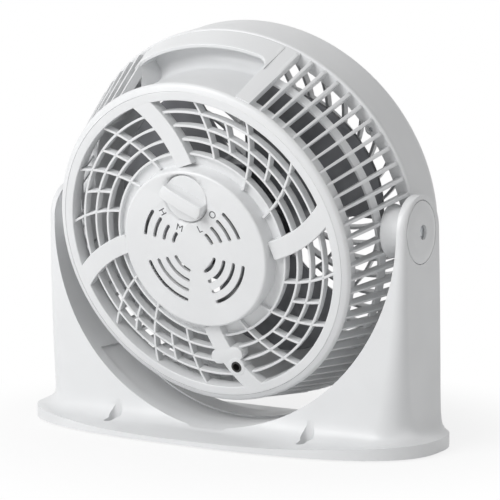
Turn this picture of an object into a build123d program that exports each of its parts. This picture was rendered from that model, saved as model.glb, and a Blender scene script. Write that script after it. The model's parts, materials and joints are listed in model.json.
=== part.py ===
"""Tabletop air circulator: a drum-shaped fan head that tilts in a U-shaped stand.

Millimetres. +Z is up and the air leaves towards -Y; the speed knob and the rear grille
look towards +Y. The origin is on the table, under the middle of the whole fan.
The head is drawn level about the middle of its tilt axis and set into the stand at the
end: its x runs to the right and its y upwards as seen from behind, and its z runs
rearwards along the fan axis.
"""

import math
import os

from build123d import *

os.makedirs("parts", exist_ok=True)

# ---------------------------------------------------------------- driving dimensions
pivot_height = 128.5          # tilt axis above the table
pivot_y = 6.64                # tilt axis behind the middle of the whole fan
rest_tilt = 16.0              # head leans back by this much at rest
body_gap = 0.3                # between pieces that move past each other
seat_gap = 0.15               # between pieces that are fitted together
running_gap = 0.05            # radial play of a shaft in its bearing

# drum-shaped housing, radii about the fan axis and places along it
rim_z = 42.8                  # rear face of the grille ring
rim_inner_radius = 90.8
rim_outer_radius = 96.3
rim_depth = 9.2
shoulder_radius = 101.0       # where the side ribs start
shoulder_z = 39.8
shoulder_inner_radius = 98.6
shoulder_skirt_z = 29.5       # how far the shoulder reaches forwards inside
rim_seat_radius = 93.5        # inner edge of the step that takes the rear grille
flange_radius = 119.5         # widest part of the head
flange_z = -10.5              # rear face of the flange
flange_inner_radius = 110.5
flange_wall = 2.6
spigot_depth = 7.0            # lip of the housing inside the bezel
side_rib_count = 76
side_rib_thickness = 1.7
side_rib_depth = 5.8
hoop_z = 9.0                  # inner hoop that ties the side ribs
hoop_height = 5.0
hoop_wall = 1.8

# carrying handle let into the top of the drum
handle_half_angle = 24.6
handle_floor_radius = 98.0
handle_lip_z = 5.0
handle_wall = 2.2
handle_wall_z = -7.0          # front wall of the pocket
handle_scoop_z = 31.0         # rear edge of the pocket's floor
grip_radius = 114.6           # rear edge of the grip
grip_front_radius = 115.2     # underside of the grip at the front wall

# rear grille
arm_count = 4
arm_width = 11.5
arm_depth = 7.5
spiral_start_radius = 50.0
grille_ring_radii = (57.8, 66.4, 74.8, 83.3)
grille_wire = 1.4
grille_drop = 2.5             # the thin ribs lie below the arms
grille_wire_depth = 5.3
spiral_rate = 0.30            # degrees of sweep for each mm of radius
spiral_growth = 0.0016        # and how that grows outwards
hub_plate_z = 37.5
hub_plate_wall = 2.0
cord_hole_radius = 3.4
cord_hole_at = (14.0, -76.5)

# hub cover, knob and rotary switch
hub_radius = 49.5
hub_foot_radius = 50.6
hub_face_z = 47.3
hub_wall = 2.0
hub_edge_round = 1.6
knob_at_y = 32.0
knob_radius = 14.5
knob_well_gap = 0.8
knob_well_floor_z = 44.0
knob_bar_width = 9.0
knob_bar_height = 6.4
knob_step = 42.5              # between the four marks
spindle_radius = 3.0
switch_size = 26.0
switch_depth = 9.5
vent_width = 2.3
vent_radii = (14.4, 21.0, 27.6, 34.2)

# motor
shaft_radius = 3.0
bush_radius = 6.5
stack_radius = 30.0
stack_rear_z = 18.0
stack_front_z = 4.0
rotor_radius = 10.0
air_gap = 0.4
coil_inner_radius = 12.0
coil_outer_radius = 18.5
coil_overhang = 6.5
bracket_wall = 2.5
bracket_height = 12.5
motor_screw_radius = 1.5

# impeller
blade_count = 3
blade_tip_radius = 94.0
impeller_hub_radius = 34.0
impeller_front_z = -36.0
impeller_rear_z = -12.0
blade_front_z = -33.5
blade_rear_z = -7.0
blade_thickness = 2.0
blade_span_angle = 84.0
blade_tip_drop = 9.0          # the tips draw in towards both ends of a blade

# front bezel and grille
bezel_seam_z = -14.0
bezel_front_z = -54.0
bezel_widest_radius = 119.3
bezel_waist_radius = 117.0
bezel_waist_z = -38.0
bezel_wall = 2.2
bezel_lip_radius = 105.5
bezel_lip_z = -50.0
bezel_bulge = (113.6, -48.8)  # outside of the rounded front edge
bezel_hollow = (111.8, -46.8)
grille_opening_radius = 101.0
front_grille_rear_z = -46.0
front_rib_depth = 5.0
front_rib_thickness = 1.7
front_rib_count = 36
front_ring_radii = (52.0, 76.0)
front_disc_radius = 31.0
front_sweep = 34.0

# stand
base_half_width = 140.0
base_half_depth = 58.0
base_corner = 42.0
base_edge_height = 5.2        # top of the base at its front and rear edges
base_side_height = 8.5        # and at its sides
stand_rim_round = 3.5         # soft edge of the cradle and of the arms
foot_height = 1.0
foot_radius = 7.0
foot_at = (108.0, 34.0)
stand_wall = 2.5
cradle_radius = 122.0
arm_half_width = 127.4
arm_half_depth = 21.6
cap_radius = 18.4
cap_hole_radius = 4.4
cap_seat_x = 125.6
cap_edge_x = 127.4
cap_crown_x = 128.5
washer_seat_x = 124.4
washer_radius = 10.0
washer_wall = 0.9
spigot_radius = 6.5
pivot_screw_radius = 2.0
boss_radius = 12.5
boss_neck_radius = 13.7
boss_foot_radius = 16.0
boss_reach = (109.0, 116.0)   # where the boss starts, and where its foot ends
keyhole_at = (69.0, 30.0)
keyhole_radius = 4.25
keyhole_slot_width = 4.6
keyhole_slot_reach = 9.0
keyhole_depth = 20.0          # how far up into the flare of the base the keyholes are cut
cover_wall = 1.2
cover_screw_at = (60.0, 14.0)
cover_screw_radius = 1.5
cover_boss_radius = 4.0

# ---------------------------------------------------------------- frames and helpers
lean = math.radians(rest_tilt)
pivot = Vector(0, pivot_y, pivot_height)
# where the head sits in the stand, leaning back
head_seat = Plane(origin=pivot, x_dir=(-1, 0, 0), z_dir=(0, math.cos(lean), -math.sin(lean)))
fan_axis = Axis.Z
tilt_axis = Axis.X
side_signs = (1, -1)
seam_angle = 53.0             # where round pieces start, away from their other features


def across(z):
    """Plane square to the fan axis, z behind the tilt axis."""
    return Plane.XY.offset(z)


def meridian(angle):
    """Plane through the fan axis: x runs outwards at this angle, y rearwards."""
    turn = math.radians(angle)
    outwards = Vector(math.cos(turn), math.sin(turn), 0)
    return Plane(origin=(0, 0, 0), x_dir=outwards, z_dir=outwards.cross(Vector(0, 0, 1)))


def polar(radius, angle):
    turn = math.radians(angle)
    return (radius * math.cos(turn), radius * math.sin(turn))


def sweep_angle(radius):
    """How far the arms and ribs of the rear grille have swept round at a radius."""
    run = radius - spiral_start_radius
    return spiral_rate * run + spiral_growth * run * run


def swept_points(phase, start, end, steps=4):
    """Points along one swept rib of the rear grille."""
    radii = [start + (end - start) * i / steps for i in range(steps + 1)]
    return [polar(r, phase + sweep_angle(r)) for r in radii]


def cone_radius(z):
    """Outer radius of the cage of side ribs at a place along the axis."""
    share = (shoulder_z - z) / (shoulder_z - flange_z)
    return shoulder_radius + (flange_radius - 1.0 - shoulder_radius) * share


def pivot_discs(radius, inner, outer, middle=(0, 0, 0)):
    """Discs on the tilt axis at both arms."""
    with BuildPart(mode=Mode.PRIVATE) as solid:
        with BuildSketch(Plane(origin=middle, x_dir=(0, 1, 0), z_dir=(1, 0, 0)).offset(inner)):
            Circle(radius)
        extrude(amount=outer - inner)
        mirror(about=Plane.YZ)
    return solid.part


def ring(points, start=seam_angle, arc=360.0):
    """Ring round the fan axis with the closed outline given as radius and place."""
    with BuildPart(mode=Mode.PRIVATE) as solid:
        with BuildSketch(meridian(start)):
            with BuildLine():
                Polyline(*points, close=True)
            make_face()
        revolve(axis=fan_axis, revolution_arc=arc)
    return solid.part


def tube(outer, inner, low, high):
    """Round piece on the fan axis between two places."""
    with BuildPart(mode=Mode.PRIVATE) as solid:
        with BuildSketch(across(low)):
            Circle(outer)
            if inner:
                Circle(inner, mode=Mode.SUBTRACT)
        extrude(amount=high - low)
    return solid.part


def finish(part, name):
    """Label a piece and write it."""
    part.label = name
    export_step(part, f"parts/{name}.step")


def finish_head(part, name):
    """Set a piece of the head into the stand and write it."""
    finish(head_seat.location * part, name)

# ---------------------------------------------------------------- derived sizes
handle_end_angle = 1.8
handle_underside = 2.3
floor_bend = 8.0
side_rib_pitch = 360.0 / side_rib_count
handle_middle = 90.0
first_rib = math.ceil((handle_half_angle + handle_end_angle + 0.6) / side_rib_pitch)
rib_angles = [handle_middle + side_rib_pitch * k for k in range(first_rib, side_rib_count - first_rib + 1)]
boss_half_angle = 8.0
short_rib_angles = [a for a in rib_angles if abs((a + 90.0) % 180.0 - 90.0) < boss_half_angle]
long_rib_angles = [a for a in rib_angles if a not in short_rib_angles]
bezel_screw_angles = (31.0, 149.0, 211.0, 329.0)
bezel_screw_circle = 112.5
bezel_screw_radius = 1.2
bezel_head_radius = 2.0
bezel_boss_radius = 3.6
bezel_joint_z = -20.4
rim_step_z = rim_z - rim_depth
spigot_outer_radius = bezel_widest_radius - bezel_wall - seat_gap
floor_back_radius = handle_floor_radius - handle_wall
cage_slope = (cone_radius(flange_z) - shoulder_radius) / (shoulder_z - flange_z)
rib_root_radius = 97.5
grip_root_radius = flange_inner_radius + 1.2
rib_root_z = shoulder_z - (rib_root_radius + side_rib_depth - shoulder_radius) / cage_slope

# ---------------------------------------------------------------- stand
stand_middle = Plane(origin=(0, pivot_y, 0))
# half depth against height, half width against height, corner radius against height
depth_curve = [(base_half_depth, base_edge_height), (44.0, 6.2), (35.0, 9.0), (29.0, 14.0), (25.6, 23.0),
               (24.2, 38.0), (23.3, 62.0), (22.4, 93.0), (arm_half_depth, pivot_height)]
width_curve = [(base_half_width, base_side_height), (131.8, 14.0), (128.3, 21.0), (arm_half_width, 32.0)]
corner_curve = [(base_corner, base_side_height), (34.0, 14.0), (30.0, 21.0), (29.0, 32.0)]
stand_top = pivot_height + arm_half_depth
hollow_top = 95.0
base_post_holes = [(sx * cover_screw_at[0], pivot_y + sy * cover_screw_at[1])
                   for sx in side_signs for sy in side_signs]


def drawn_in(curve, inset):
    """Curve moved inwards, and its foot down, by the thickness of a wall."""
    foot, *others = curve
    return [(foot[0] - inset, foot[1] - inset)] + [(a - inset, b) for a, b in others]


def stand_depth_solid(inset):
    """The stand's side view, drawn out over its width."""
    points = drawn_in(depth_curve, inset)
    arm = arm_half_depth - inset
    with BuildPart(mode=Mode.PRIVATE) as solid:
        with BuildSketch(Plane(origin=stand_middle.origin, x_dir=(0, 1, 0), z_dir=(1, 0, 0))):
            with BuildLine():
                Spline(*points, tangents=((-1, 0.06), (0, 1)))
                Polyline(points[0], (points[0][0], 0), (0, 0), (0, pivot_height + arm))
                middle = arm * math.sqrt(0.5)
                ThreePointArc((arm, pivot_height), (middle, pivot_height + middle), (0, pivot_height + arm))
            make_face()
            mirror(about=Plane.YZ)
        extrude(amount=base_half_width + 1, both=True)
    return solid.part


def stand_width_solid(inset):
    """The stand's front view, drawn out over its depth."""
    points = drawn_in(width_curve, inset)
    with BuildPart(mode=Mode.PRIVATE) as solid:
        with BuildSketch(Plane(origin=stand_middle.origin, x_dir=(1, 0, 0), z_dir=(0, -1, 0))):
            with BuildLine():
                Spline(*points, tangents=((-1, 0.35), (0, 1)))
                Polyline(points[0], (points[0][0], 0), (0, 0), (0, stand_top + 1),
                         (points[-1][0], stand_top + 1), points[-1])
            make_face()
            mirror(about=Plane.YZ)
        extrude(amount=base_half_depth + 1, both=True)
    return solid.part


def stand_corner_cut(inset):
    """What rounds one corner of the stand, outside a flared quarter column."""
    middle = (base_half_width - base_corner, pivot_y + base_half_depth - base_corner, 0)
    points = drawn_in(corner_curve, inset)
    outer = 1.6 * base_corner
    with BuildPart(mode=Mode.PRIVATE) as solid:
        with BuildSketch(Plane(origin=middle, x_dir=(1, 0, 0), z_dir=(0, -1, 0))):
            with BuildLine():
                Spline(*points, tangents=((-1, 0.6), (0, 1)))
                Polyline(points[-1], (points[-1][0], stand_top + 2), (outer, stand_top + 2),
                         (outer, -1), (points[0][0], -1), points[0])
            make_face()
        revolve(axis=Axis(middle, (0, 0, 1)), revolution_arc=90)
    return solid.part


def stand_block(inset):
    """Outside of the stand without its cradle, drawn in by inset."""
    corner = stand_corner_cut(inset)
    across_depth = Plane.XZ.offset(-pivot_y)
    with BuildPart(mode=Mode.PRIVATE) as solid:
        add(stand_depth_solid(inset))
        add(stand_width_solid(inset), mode=Mode.INTERSECT)
        add(corner, mode=Mode.SUBTRACT)
        add(corner.mirror(Plane.YZ), mode=Mode.SUBTRACT)
        add(corner.mirror(across_depth), mode=Mode.SUBTRACT)
        add(corner.mirror(Plane.YZ).mirror(across_depth), mode=Mode.SUBTRACT)
    return solid.part


def cradle_space(radius, depth=2 * base_half_depth):
    """Round-bottomed space between the arms, open at the top."""
    with BuildPart(mode=Mode.PRIVATE) as solid:
        with BuildSketch(Plane(origin=pivot, x_dir=(1, 0, 0), z_dir=(0, -1, 0))):
            Circle(radius)
            with Locations((0, radius / 2)):
                Rectangle(2 * radius, radius)
        extrude(amount=depth, both=True)
    return solid.part


def keyholes(top):
    """Keyhole-shaped cutters from the table up to a height."""
    with BuildPart(mode=Mode.PRIVATE) as solid:
        with BuildSketch(Plane.XY):
            for side in side_signs:
                with Locations((side * keyhole_at[0], pivot_y + keyhole_at[1])):
                    Circle(keyhole_radius)
                with Locations((side * keyhole_at[0], pivot_y + keyhole_at[1] + keyhole_slot_reach / 2)):
                    SlotCenterToCenter(keyhole_slot_reach, keyhole_slot_width, rotation=90)
        extrude(amount=top)
    return solid.part


def on_cradle(edge):
    """Whether an edge of the stand runs round its cradle or up an arm beside it."""
    points = [edge @ share for share in (0.0, 0.5, 1.0)]
    offsets = [math.hypot(p.X, min(p.Z - pivot_height, 0.0)) - cradle_radius for p in points]
    return max(abs(offset) for offset in offsets) < 0.05


with BuildPart() as stand_shell:
    add(stand_block(0))
    add(cradle_space(cradle_radius), mode=Mode.SUBTRACT)
    fillet([edge for edge in stand_shell.edges() if on_cradle(edge)], stand_rim_round)
    with BuildSketch(Plane.XY):
        with Locations((0, pivot_y)):
            Rectangle(3 * base_half_width, 3 * base_half_depth)
    extrude(amount=foot_height, mode=Mode.SUBTRACT)
    with BuildPart(mode=Mode.PRIVATE) as hollow:
        add(stand_block(stand_wall))
        add(cradle_space(cradle_radius + stand_wall), mode=Mode.SUBTRACT)
        with BuildSketch(Plane.XY.offset(hollow_top)):
            with Locations((0, pivot_y)):
                Rectangle(3 * base_half_width, 3 * base_half_depth)
        extrude(amount=stand_top, mode=Mode.SUBTRACT)
    add(hollow.part, mode=Mode.SUBTRACT)
    # posts for the screws of the base cover
    with BuildPart(mode=Mode.PRIVATE) as posts:
        with BuildSketch(Plane.XY.offset(foot_height + cover_wall)):
            with Locations(*base_post_holes):
                Circle(cover_boss_radius)
        extrude(amount=25.0)
        add(cradle_space(cradle_radius + stand_wall / 2), mode=Mode.SUBTRACT)
    add(posts.part)
    with BuildSketch(Plane.XY.offset(foot_height)):
        with Locations(*base_post_holes):
            Circle(cover_screw_radius)
    extrude(amount=12.0, mode=Mode.SUBTRACT)
    add(keyholes(keyhole_depth), mode=Mode.SUBTRACT)
    # bearing hole, room for the washer and seat of the cap in each arm
    for radius, inner, outer in ((spigot_radius + running_gap, cradle_radius - 1, arm_half_width),
                                 (boss_radius + 3 * body_gap, cradle_radius - 2, cradle_radius),
                                 (washer_radius + 2, washer_seat_x, arm_half_width),
                                 (cap_radius + seat_gap, cap_seat_x, arm_half_width + 1)):
        add(pivot_discs(radius, inner, outer, pivot), mode=Mode.SUBTRACT)
finish(stand_shell.part, "stand_shell")

cover_inset = stand_wall + seat_gap
with BuildPart() as base_cover:
    with BuildSketch(Plane.XY.offset(foot_height)):
        with Locations((0, pivot_y)):
            RectangleRounded(2 * (base_half_width - cover_inset), 2 * (base_half_depth - cover_inset),
                             base_corner - cover_inset)
    extrude(amount=cover_wall)
    with BuildSketch(Plane.XY.offset(foot_height)):
        with Locations(*base_post_holes):
            Circle(cover_screw_radius + seat_gap)
    extrude(amount=cover_wall, mode=Mode.SUBTRACT)
    with BuildSketch(Plane.XY.offset(foot_height)):
        with Locations(*base_post_holes):
            Circle(2 * cover_screw_radius + seat_gap)
    extrude(amount=0.6 * cover_wall, mode=Mode.SUBTRACT)
    add(keyholes(10.0), mode=Mode.SUBTRACT)
finish(base_cover.part, "base_cover")

with BuildPart() as cover_screws:
    with BuildSketch(Plane.XY.offset(foot_height + 0.2)):
        with Locations(*base_post_holes):
            Circle(2 * cover_screw_radius)
    extrude(amount=0.6 * cover_wall - 0.2)
    with BuildSketch(Plane.XY.offset(foot_height + 0.6 * cover_wall)):
        with Locations(*base_post_holes):
            Circle(cover_screw_radius - running_gap)
    extrude(amount=9.0)
finish(cover_screws.part, "cover_screws")

with BuildPart() as rubber_feet:
    with BuildSketch(Plane.XY):
        with Locations((0, pivot_y)):
            with GridLocations(2 * foot_at[0], 2 * foot_at[1], 2, 2):
                Circle(foot_radius)
    extrude(amount=foot_height)
    chamfer(rubber_feet.edges().group_by(Axis.Z)[0], 0.3)
finish(rubber_feet.part, "rubber_feet")

with BuildPart() as pivot_caps:
    with BuildSketch(Plane(origin=pivot, x_dir=(0, 0, 1), z_dir=(0, 1, 0))):
        with BuildLine():
            crown_edge = 0.55 * cap_radius
            Polyline((cap_radius, cap_edge_x), (cap_radius, cap_seat_x), (cap_hole_radius, cap_seat_x),
                     (cap_hole_radius, cap_crown_x), (crown_edge, cap_crown_x))
            ThreePointArc((crown_edge, cap_crown_x),
                          (0.85 * cap_radius, (cap_crown_x + cap_edge_x) / 2 + 0.22),
                          (cap_radius, cap_edge_x))
        make_face()
    revolve(axis=Axis(pivot, (1, 0, 0)))
    mirror(about=Plane.YZ)
finish(pivot_caps.part, "pivot_caps")

# ---------------------------------------------------------------- drum housing
with BuildPart() as rear_housing:
    # rounded shoulder with the step that takes the rear grille
    with BuildSketch(meridian(seam_angle)):
        with BuildLine():
            rim_bore = rim_outer_radius + seat_gap
            Polyline((shoulder_radius, shoulder_z), (shoulder_inner_radius, shoulder_z - 2.2),
                     (shoulder_inner_radius, shoulder_skirt_z), (rim_seat_radius, shoulder_skirt_z),
                     (rim_seat_radius, rim_step_z), (rim_bore, rim_step_z), (rim_bore, rim_z - 0.3))
            ThreePointArc((rim_bore, rim_z - 0.3), (99.4, 41.7), (shoulder_radius, shoulder_z))
        make_face()
    revolve(axis=fan_axis)
    # flange with the lip that goes into the bezel
    flange_front_z = bezel_seam_z + seat_gap
    spigot_tip_z = bezel_joint_z + 0.2
    spigot_inner_radius = spigot_outer_radius - 2.5
    add(ring([(flange_inner_radius, flange_z), (flange_radius - 0.8, flange_z),
              (flange_radius, flange_z - 0.9), (flange_radius, flange_front_z),
              (spigot_outer_radius, flange_front_z), (spigot_outer_radius - 0.7, spigot_tip_z),
              (spigot_inner_radius, spigot_tip_z), (spigot_inner_radius, flange_z - flange_wall),
              (flange_inner_radius, flange_z - flange_wall)]))
    # hoop behind the side ribs, left out at the handle
    hoop_outer = cone_radius(hoop_z) - side_rib_depth / 2 - hoop_wall / 2
    hoop_top_radius = hoop_outer - hoop_height * 0.35
    hoop_from = handle_middle + handle_half_angle + handle_end_angle / 2
    add(ring([(hoop_outer, hoop_z), (hoop_top_radius, hoop_z + hoop_height),
              (hoop_top_radius - hoop_wall, hoop_z + hoop_height), (hoop_outer - hoop_wall, hoop_z)],
             hoop_from, 360.0 - 2 * (hoop_from - handle_middle)))
    # bosses and spigots on the tilt axis
    with BuildPart(mode=Mode.PRIVATE) as boss:
        with BuildSketch(Plane(origin=(0, 0, 0), x_dir=(0, 0.6, 0.8), z_dir=(0, 0.8, -0.6))):
            boss_from, foot_end = boss_reach
            boss_face = cradle_radius - body_gap
            Polygon((0, boss_from), (boss_foot_radius, boss_from), (boss_neck_radius, foot_end),
                    (boss_radius, boss_face), (spigot_radius, boss_face),
                    (spigot_radius, washer_seat_x + 0.2), (0, washer_seat_x + 0.2), align=None)
        revolve(axis=tilt_axis)
        mirror(about=Plane.YZ)
    add(boss.part)
    # side ribs, all round except at the handle, rooted in the shoulder and in the flange;
    # those above a boss of the tilt axis end in it
    with BuildPart(mode=Mode.PRIVATE) as side_ribs:
        for angles, foot_z in ((long_rib_angles, flange_z - 1), (short_rib_angles, boss_radius - 3)):
            with BuildSketch(*[meridian(angle) for angle in angles]):
                Polygon((shoulder_radius - 0.5, shoulder_z + 0.5), (rib_root_radius, shoulder_z + 0.5),
                        (rib_root_radius, rib_root_z), (cone_radius(foot_z) - side_rib_depth, foot_z),
                        (cone_radius(foot_z), foot_z), align=None)
            extrude(amount=side_rib_thickness / 2, both=True)
    add(side_ribs.part)
    # scoop and grip of the carrying handle
    with BuildSketch(meridian(handle_middle - handle_half_angle)):
        with BuildLine():
            bend = floor_bend * (1 - math.sqrt(0.5))
            bend_back = bend - handle_wall * math.sqrt(0.5)
            bend_radius = handle_floor_radius + floor_bend
            bend_z = handle_wall_z + floor_bend
            wall_back_z = handle_wall_z - handle_wall
            grip_front_z = flange_z - 1.3
            grip_foot_radius = cone_radius(flange_z) - 0.2
            Polyline((handle_floor_radius, handle_scoop_z), (floor_back_radius, handle_scoop_z),
                     (floor_back_radius, bend_z))
            ThreePointArc((floor_back_radius, bend_z),
                          (handle_floor_radius + bend_back, handle_wall_z + bend_back),
                          (bend_radius, wall_back_z))
            Polyline((bend_radius, wall_back_z), (grip_root_radius, wall_back_z),
                     (grip_root_radius, grip_front_z), (grip_foot_radius, grip_front_z),
                     (grip_foot_radius, flange_z + 0.2), (grip_radius, handle_lip_z),
                     (grip_radius - handle_underside, handle_lip_z), (grip_front_radius, handle_wall_z),
                     (bend_radius, handle_wall_z))
            ThreePointArc((bend_radius, handle_wall_z),
                          (handle_floor_radius + bend, handle_wall_z + bend), (handle_floor_radius, bend_z))
            Line((handle_floor_radius, bend_z), (handle_floor_radius, handle_scoop_z))
        make_face()
    revolve(axis=fan_axis, revolution_arc=2 * handle_half_angle)
    # end walls of the scoop
    end_outline = [(shoulder_radius - 0.4, shoulder_z - 0.4), (rib_root_radius, shoulder_z - 0.4),
                   (rib_root_radius, handle_scoop_z), (floor_back_radius - 0.3, handle_scoop_z),
                   (floor_back_radius - 0.3, bend_z),
                   (handle_floor_radius + bend - 1.9, handle_wall_z + bend - 1.9),
                   (bend_radius, wall_back_z - 0.3), (flange_inner_radius + 0.5, wall_back_z - 0.3),
                   (flange_inner_radius + 0.5, flange_z - 1), (cone_radius(flange_z - 1), flange_z - 1)]
    for start in (-handle_half_angle - handle_end_angle, handle_half_angle - 0.2):
        add(ring(end_outline, handle_middle + start, handle_end_angle + 0.2))
    add(pivot_discs(pivot_screw_radius + running_gap, 112.0, 130.0), mode=Mode.SUBTRACT)
    # bosses for the bezel screws
    with BuildSketch(across(bezel_joint_z + 0.5)):
        with Locations(*[polar(bezel_screw_circle, a) for a in bezel_screw_angles]):
            Circle(bezel_boss_radius)
    extrude(amount=flange_z - bezel_joint_z - 1.0)
    with BuildSketch(across(bezel_joint_z)):
        with Locations(*[polar(bezel_screw_circle, a) for a in bezel_screw_angles]):
            Circle(bezel_screw_radius + seat_gap)
    extrude(amount=20.0, mode=Mode.SUBTRACT)
    with BuildSketch(across(flange_z - 3.8)):
        with Locations(*[polar(bezel_screw_circle, a) for a in bezel_screw_angles]):
            Circle(bezel_head_radius + seat_gap)
    extrude(amount=8.0, mode=Mode.SUBTRACT)
finish_head(rear_housing.part, "rear_housing")

with BuildPart() as pivot_washers:
    add(pivot_discs(washer_radius, washer_seat_x + 0.2, washer_seat_x + 0.2 + washer_wall))
    add(pivot_discs(pivot_screw_radius + seat_gap, washer_seat_x, 130.0), mode=Mode.SUBTRACT)
finish_head(pivot_washers.part, "pivot_washers")

with BuildPart() as pivot_screws:
    add(pivot_discs(pivot_screw_radius, 113.0, washer_seat_x + 0.2 + washer_wall))
    add(pivot_discs(cap_hole_radius - body_gap, washer_seat_x + 0.2 + washer_wall, 126.9))
finish_head(pivot_screws.part, "pivot_screws")

# ---------------------------------------------------------------- rear grille
arm_phases = [360.0 / arm_count * k for k in range(arm_count)]
# ribs in each quarter: angle from the arm, and the radii between which they run
hub_edge = hub_foot_radius + seat_gap
rib_start = hub_edge + body_gap
quarter_ribs = ((22.5, rib_start, 91.5), (33.75, 66.4, 83.3), (45.0, rib_start, 91.5), (56.25, 66.4, 83.3),
                (67.5, 57.8, 91.5))
motor_post_circle = 40.0
motor_post_radius = 3.6
motor_post_angles = (45.0, 135.0, 225.0, 315.0)
bracket_rear_z = stack_rear_z + bracket_wall


def swept_rib(phase, start, end, width):
    """Flat outline of a rib that sweeps round as it runs outwards."""
    middle = [Vector(*p) for p in swept_points(phase, start, end)]
    ahead = [middle[min(i + 1, len(middle) - 1)] - middle[max(i - 1, 0)] for i in range(len(middle))]
    side = [Vector(-d.Y, d.X).normalized() * (width / 2) for d in ahead]
    left = [m + n for m, n in zip(middle, side)]
    right = [m - n for m, n in zip(middle, side)]
    return Polygon(*left, *reversed(right), align=None)


with BuildPart() as rear_grille:
    with BuildSketch(across(rim_step_z)):
        Circle(rim_outer_radius)
        Circle(rim_inner_radius, mode=Mode.SUBTRACT)
    extrude(amount=rim_depth)
    wire_z = rim_z - grille_drop - grille_wire_depth
    with BuildSketch(across(wire_z)):
        # from the largest inwards, because each ring clears everything inside it
        for radius in reversed(grille_ring_radii):
            Circle(radius + grille_wire / 2)
            Circle(radius - grille_wire / 2, mode=Mode.SUBTRACT)
        for phase in arm_phases:
            for turn, start, end in quarter_ribs:
                swept_rib(phase + turn, start, end, grille_wire)
        with Locations(cord_hole_at):
            Circle(cord_hole_radius, mode=Mode.SUBTRACT)
    extrude(amount=grille_wire_depth)
    with BuildSketch(across(rim_z - arm_depth)):
        for phase in arm_phases:
            swept_rib(phase, hub_foot_radius - 3.0, rim_inner_radius - 3.0, arm_width)
        with Locations(Location((8.0, -69.6, 0), (0, 0, 1), 13.0)):
            SlotOverall(23.0, 9.4)
        with Locations(cord_hole_at):
            Circle(cord_hole_radius + 2.4)
        Circle(hub_edge, mode=Mode.SUBTRACT)
        with Locations(cord_hole_at):
            Circle(cord_hole_radius, mode=Mode.SUBTRACT)
    extrude(amount=arm_depth)
    with BuildSketch(across(hub_plate_z - hub_plate_wall)):
        Circle(grille_ring_radii[0])
        Circle(33.0, mode=Mode.SUBTRACT)
        with Locations((0, knob_at_y)):
            Rectangle(switch_size + 1, switch_size + 1, mode=Mode.SUBTRACT)
    extrude(amount=hub_plate_wall)
    with BuildSketch(across(bracket_rear_z)):
        with Locations(*[polar(motor_post_circle, a) for a in motor_post_angles]):
            Circle(motor_post_radius)
    extrude(amount=hub_plate_z - hub_plate_wall - bracket_rear_z)
    with BuildSketch(across(bracket_rear_z)):
        with Locations(*[polar(motor_post_circle, a) for a in motor_post_angles]):
            Circle(motor_screw_radius)
    extrude(amount=11.0, mode=Mode.SUBTRACT)
finish_head(rear_grille.part, "rear_grille")

with BuildPart() as cord_gland:
    with BuildSketch(across(rim_z - arm_depth)):
        with Locations(cord_hole_at):
            Circle(cord_hole_radius)
            Circle(cord_hole_radius - 1.1, mode=Mode.SUBTRACT)
    extrude(amount=arm_depth + 0.4)
finish_head(cord_gland.part, "cord_gland")

with BuildPart() as hub_cover:
    with BuildSketch(meridian(seam_angle)):
        with BuildLine():
            Polyline((0, hub_face_z), (hub_radius - hub_edge_round, hub_face_z))
            ThreePointArc((hub_radius - hub_edge_round, hub_face_z),
                          (hub_radius - 0.3 * hub_edge_round, hub_face_z - 0.3 * hub_edge_round),
                          (hub_radius, hub_face_z - hub_edge_round))
            Polyline((hub_radius, hub_face_z - hub_edge_round), (hub_foot_radius, hub_plate_z),
                     (hub_foot_radius - hub_wall, hub_plate_z),
                     (hub_radius - hub_wall, hub_face_z - hub_wall),
                     (0, hub_face_z - hub_wall), (0, hub_face_z))
        make_face()
    revolve(axis=fan_axis)
    # well of the knob, and the hole for its spindle
    well_radius = knob_radius + knob_well_gap
    with BuildSketch(across(knob_well_floor_z - hub_wall)):
        with Locations((0, knob_at_y)):
            Circle(well_radius + 1.6)
    extrude(amount=hub_face_z - hub_wall - knob_well_floor_z + hub_wall)
    with BuildSketch(across(knob_well_floor_z)):
        with Locations((0, knob_at_y)):
            Circle(well_radius)
    extrude(amount=10.0, mode=Mode.SUBTRACT)
    with BuildSketch(across(knob_well_floor_z - 2 * hub_wall)):
        with Locations((0, knob_at_y)):
            Circle(spindle_radius + 2 * body_gap)
    extrude(amount=10.0, mode=Mode.SUBTRACT)
    # curved vent slots, mirrored left and right
    with BuildSketch(across(hub_face_z - 2 * hub_wall)):
        for radius in vent_radii:
            margin = math.degrees(2.2 / radius)
            for low, high in ((12.0 + margin, 43.0), (-90.0 + 15.0 + margin, -12.0 - margin)):
                for start, end in ((low, high), (180.0 - high, 180.0 - low)):
                    SlotArc(CenterArc((0, 0), radius, start, end - start, mode=Mode.PRIVATE), vent_width)
    extrude(amount=3 * hub_wall, mode=Mode.SUBTRACT)
finish_head(hub_cover.part, "hub_cover")

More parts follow.
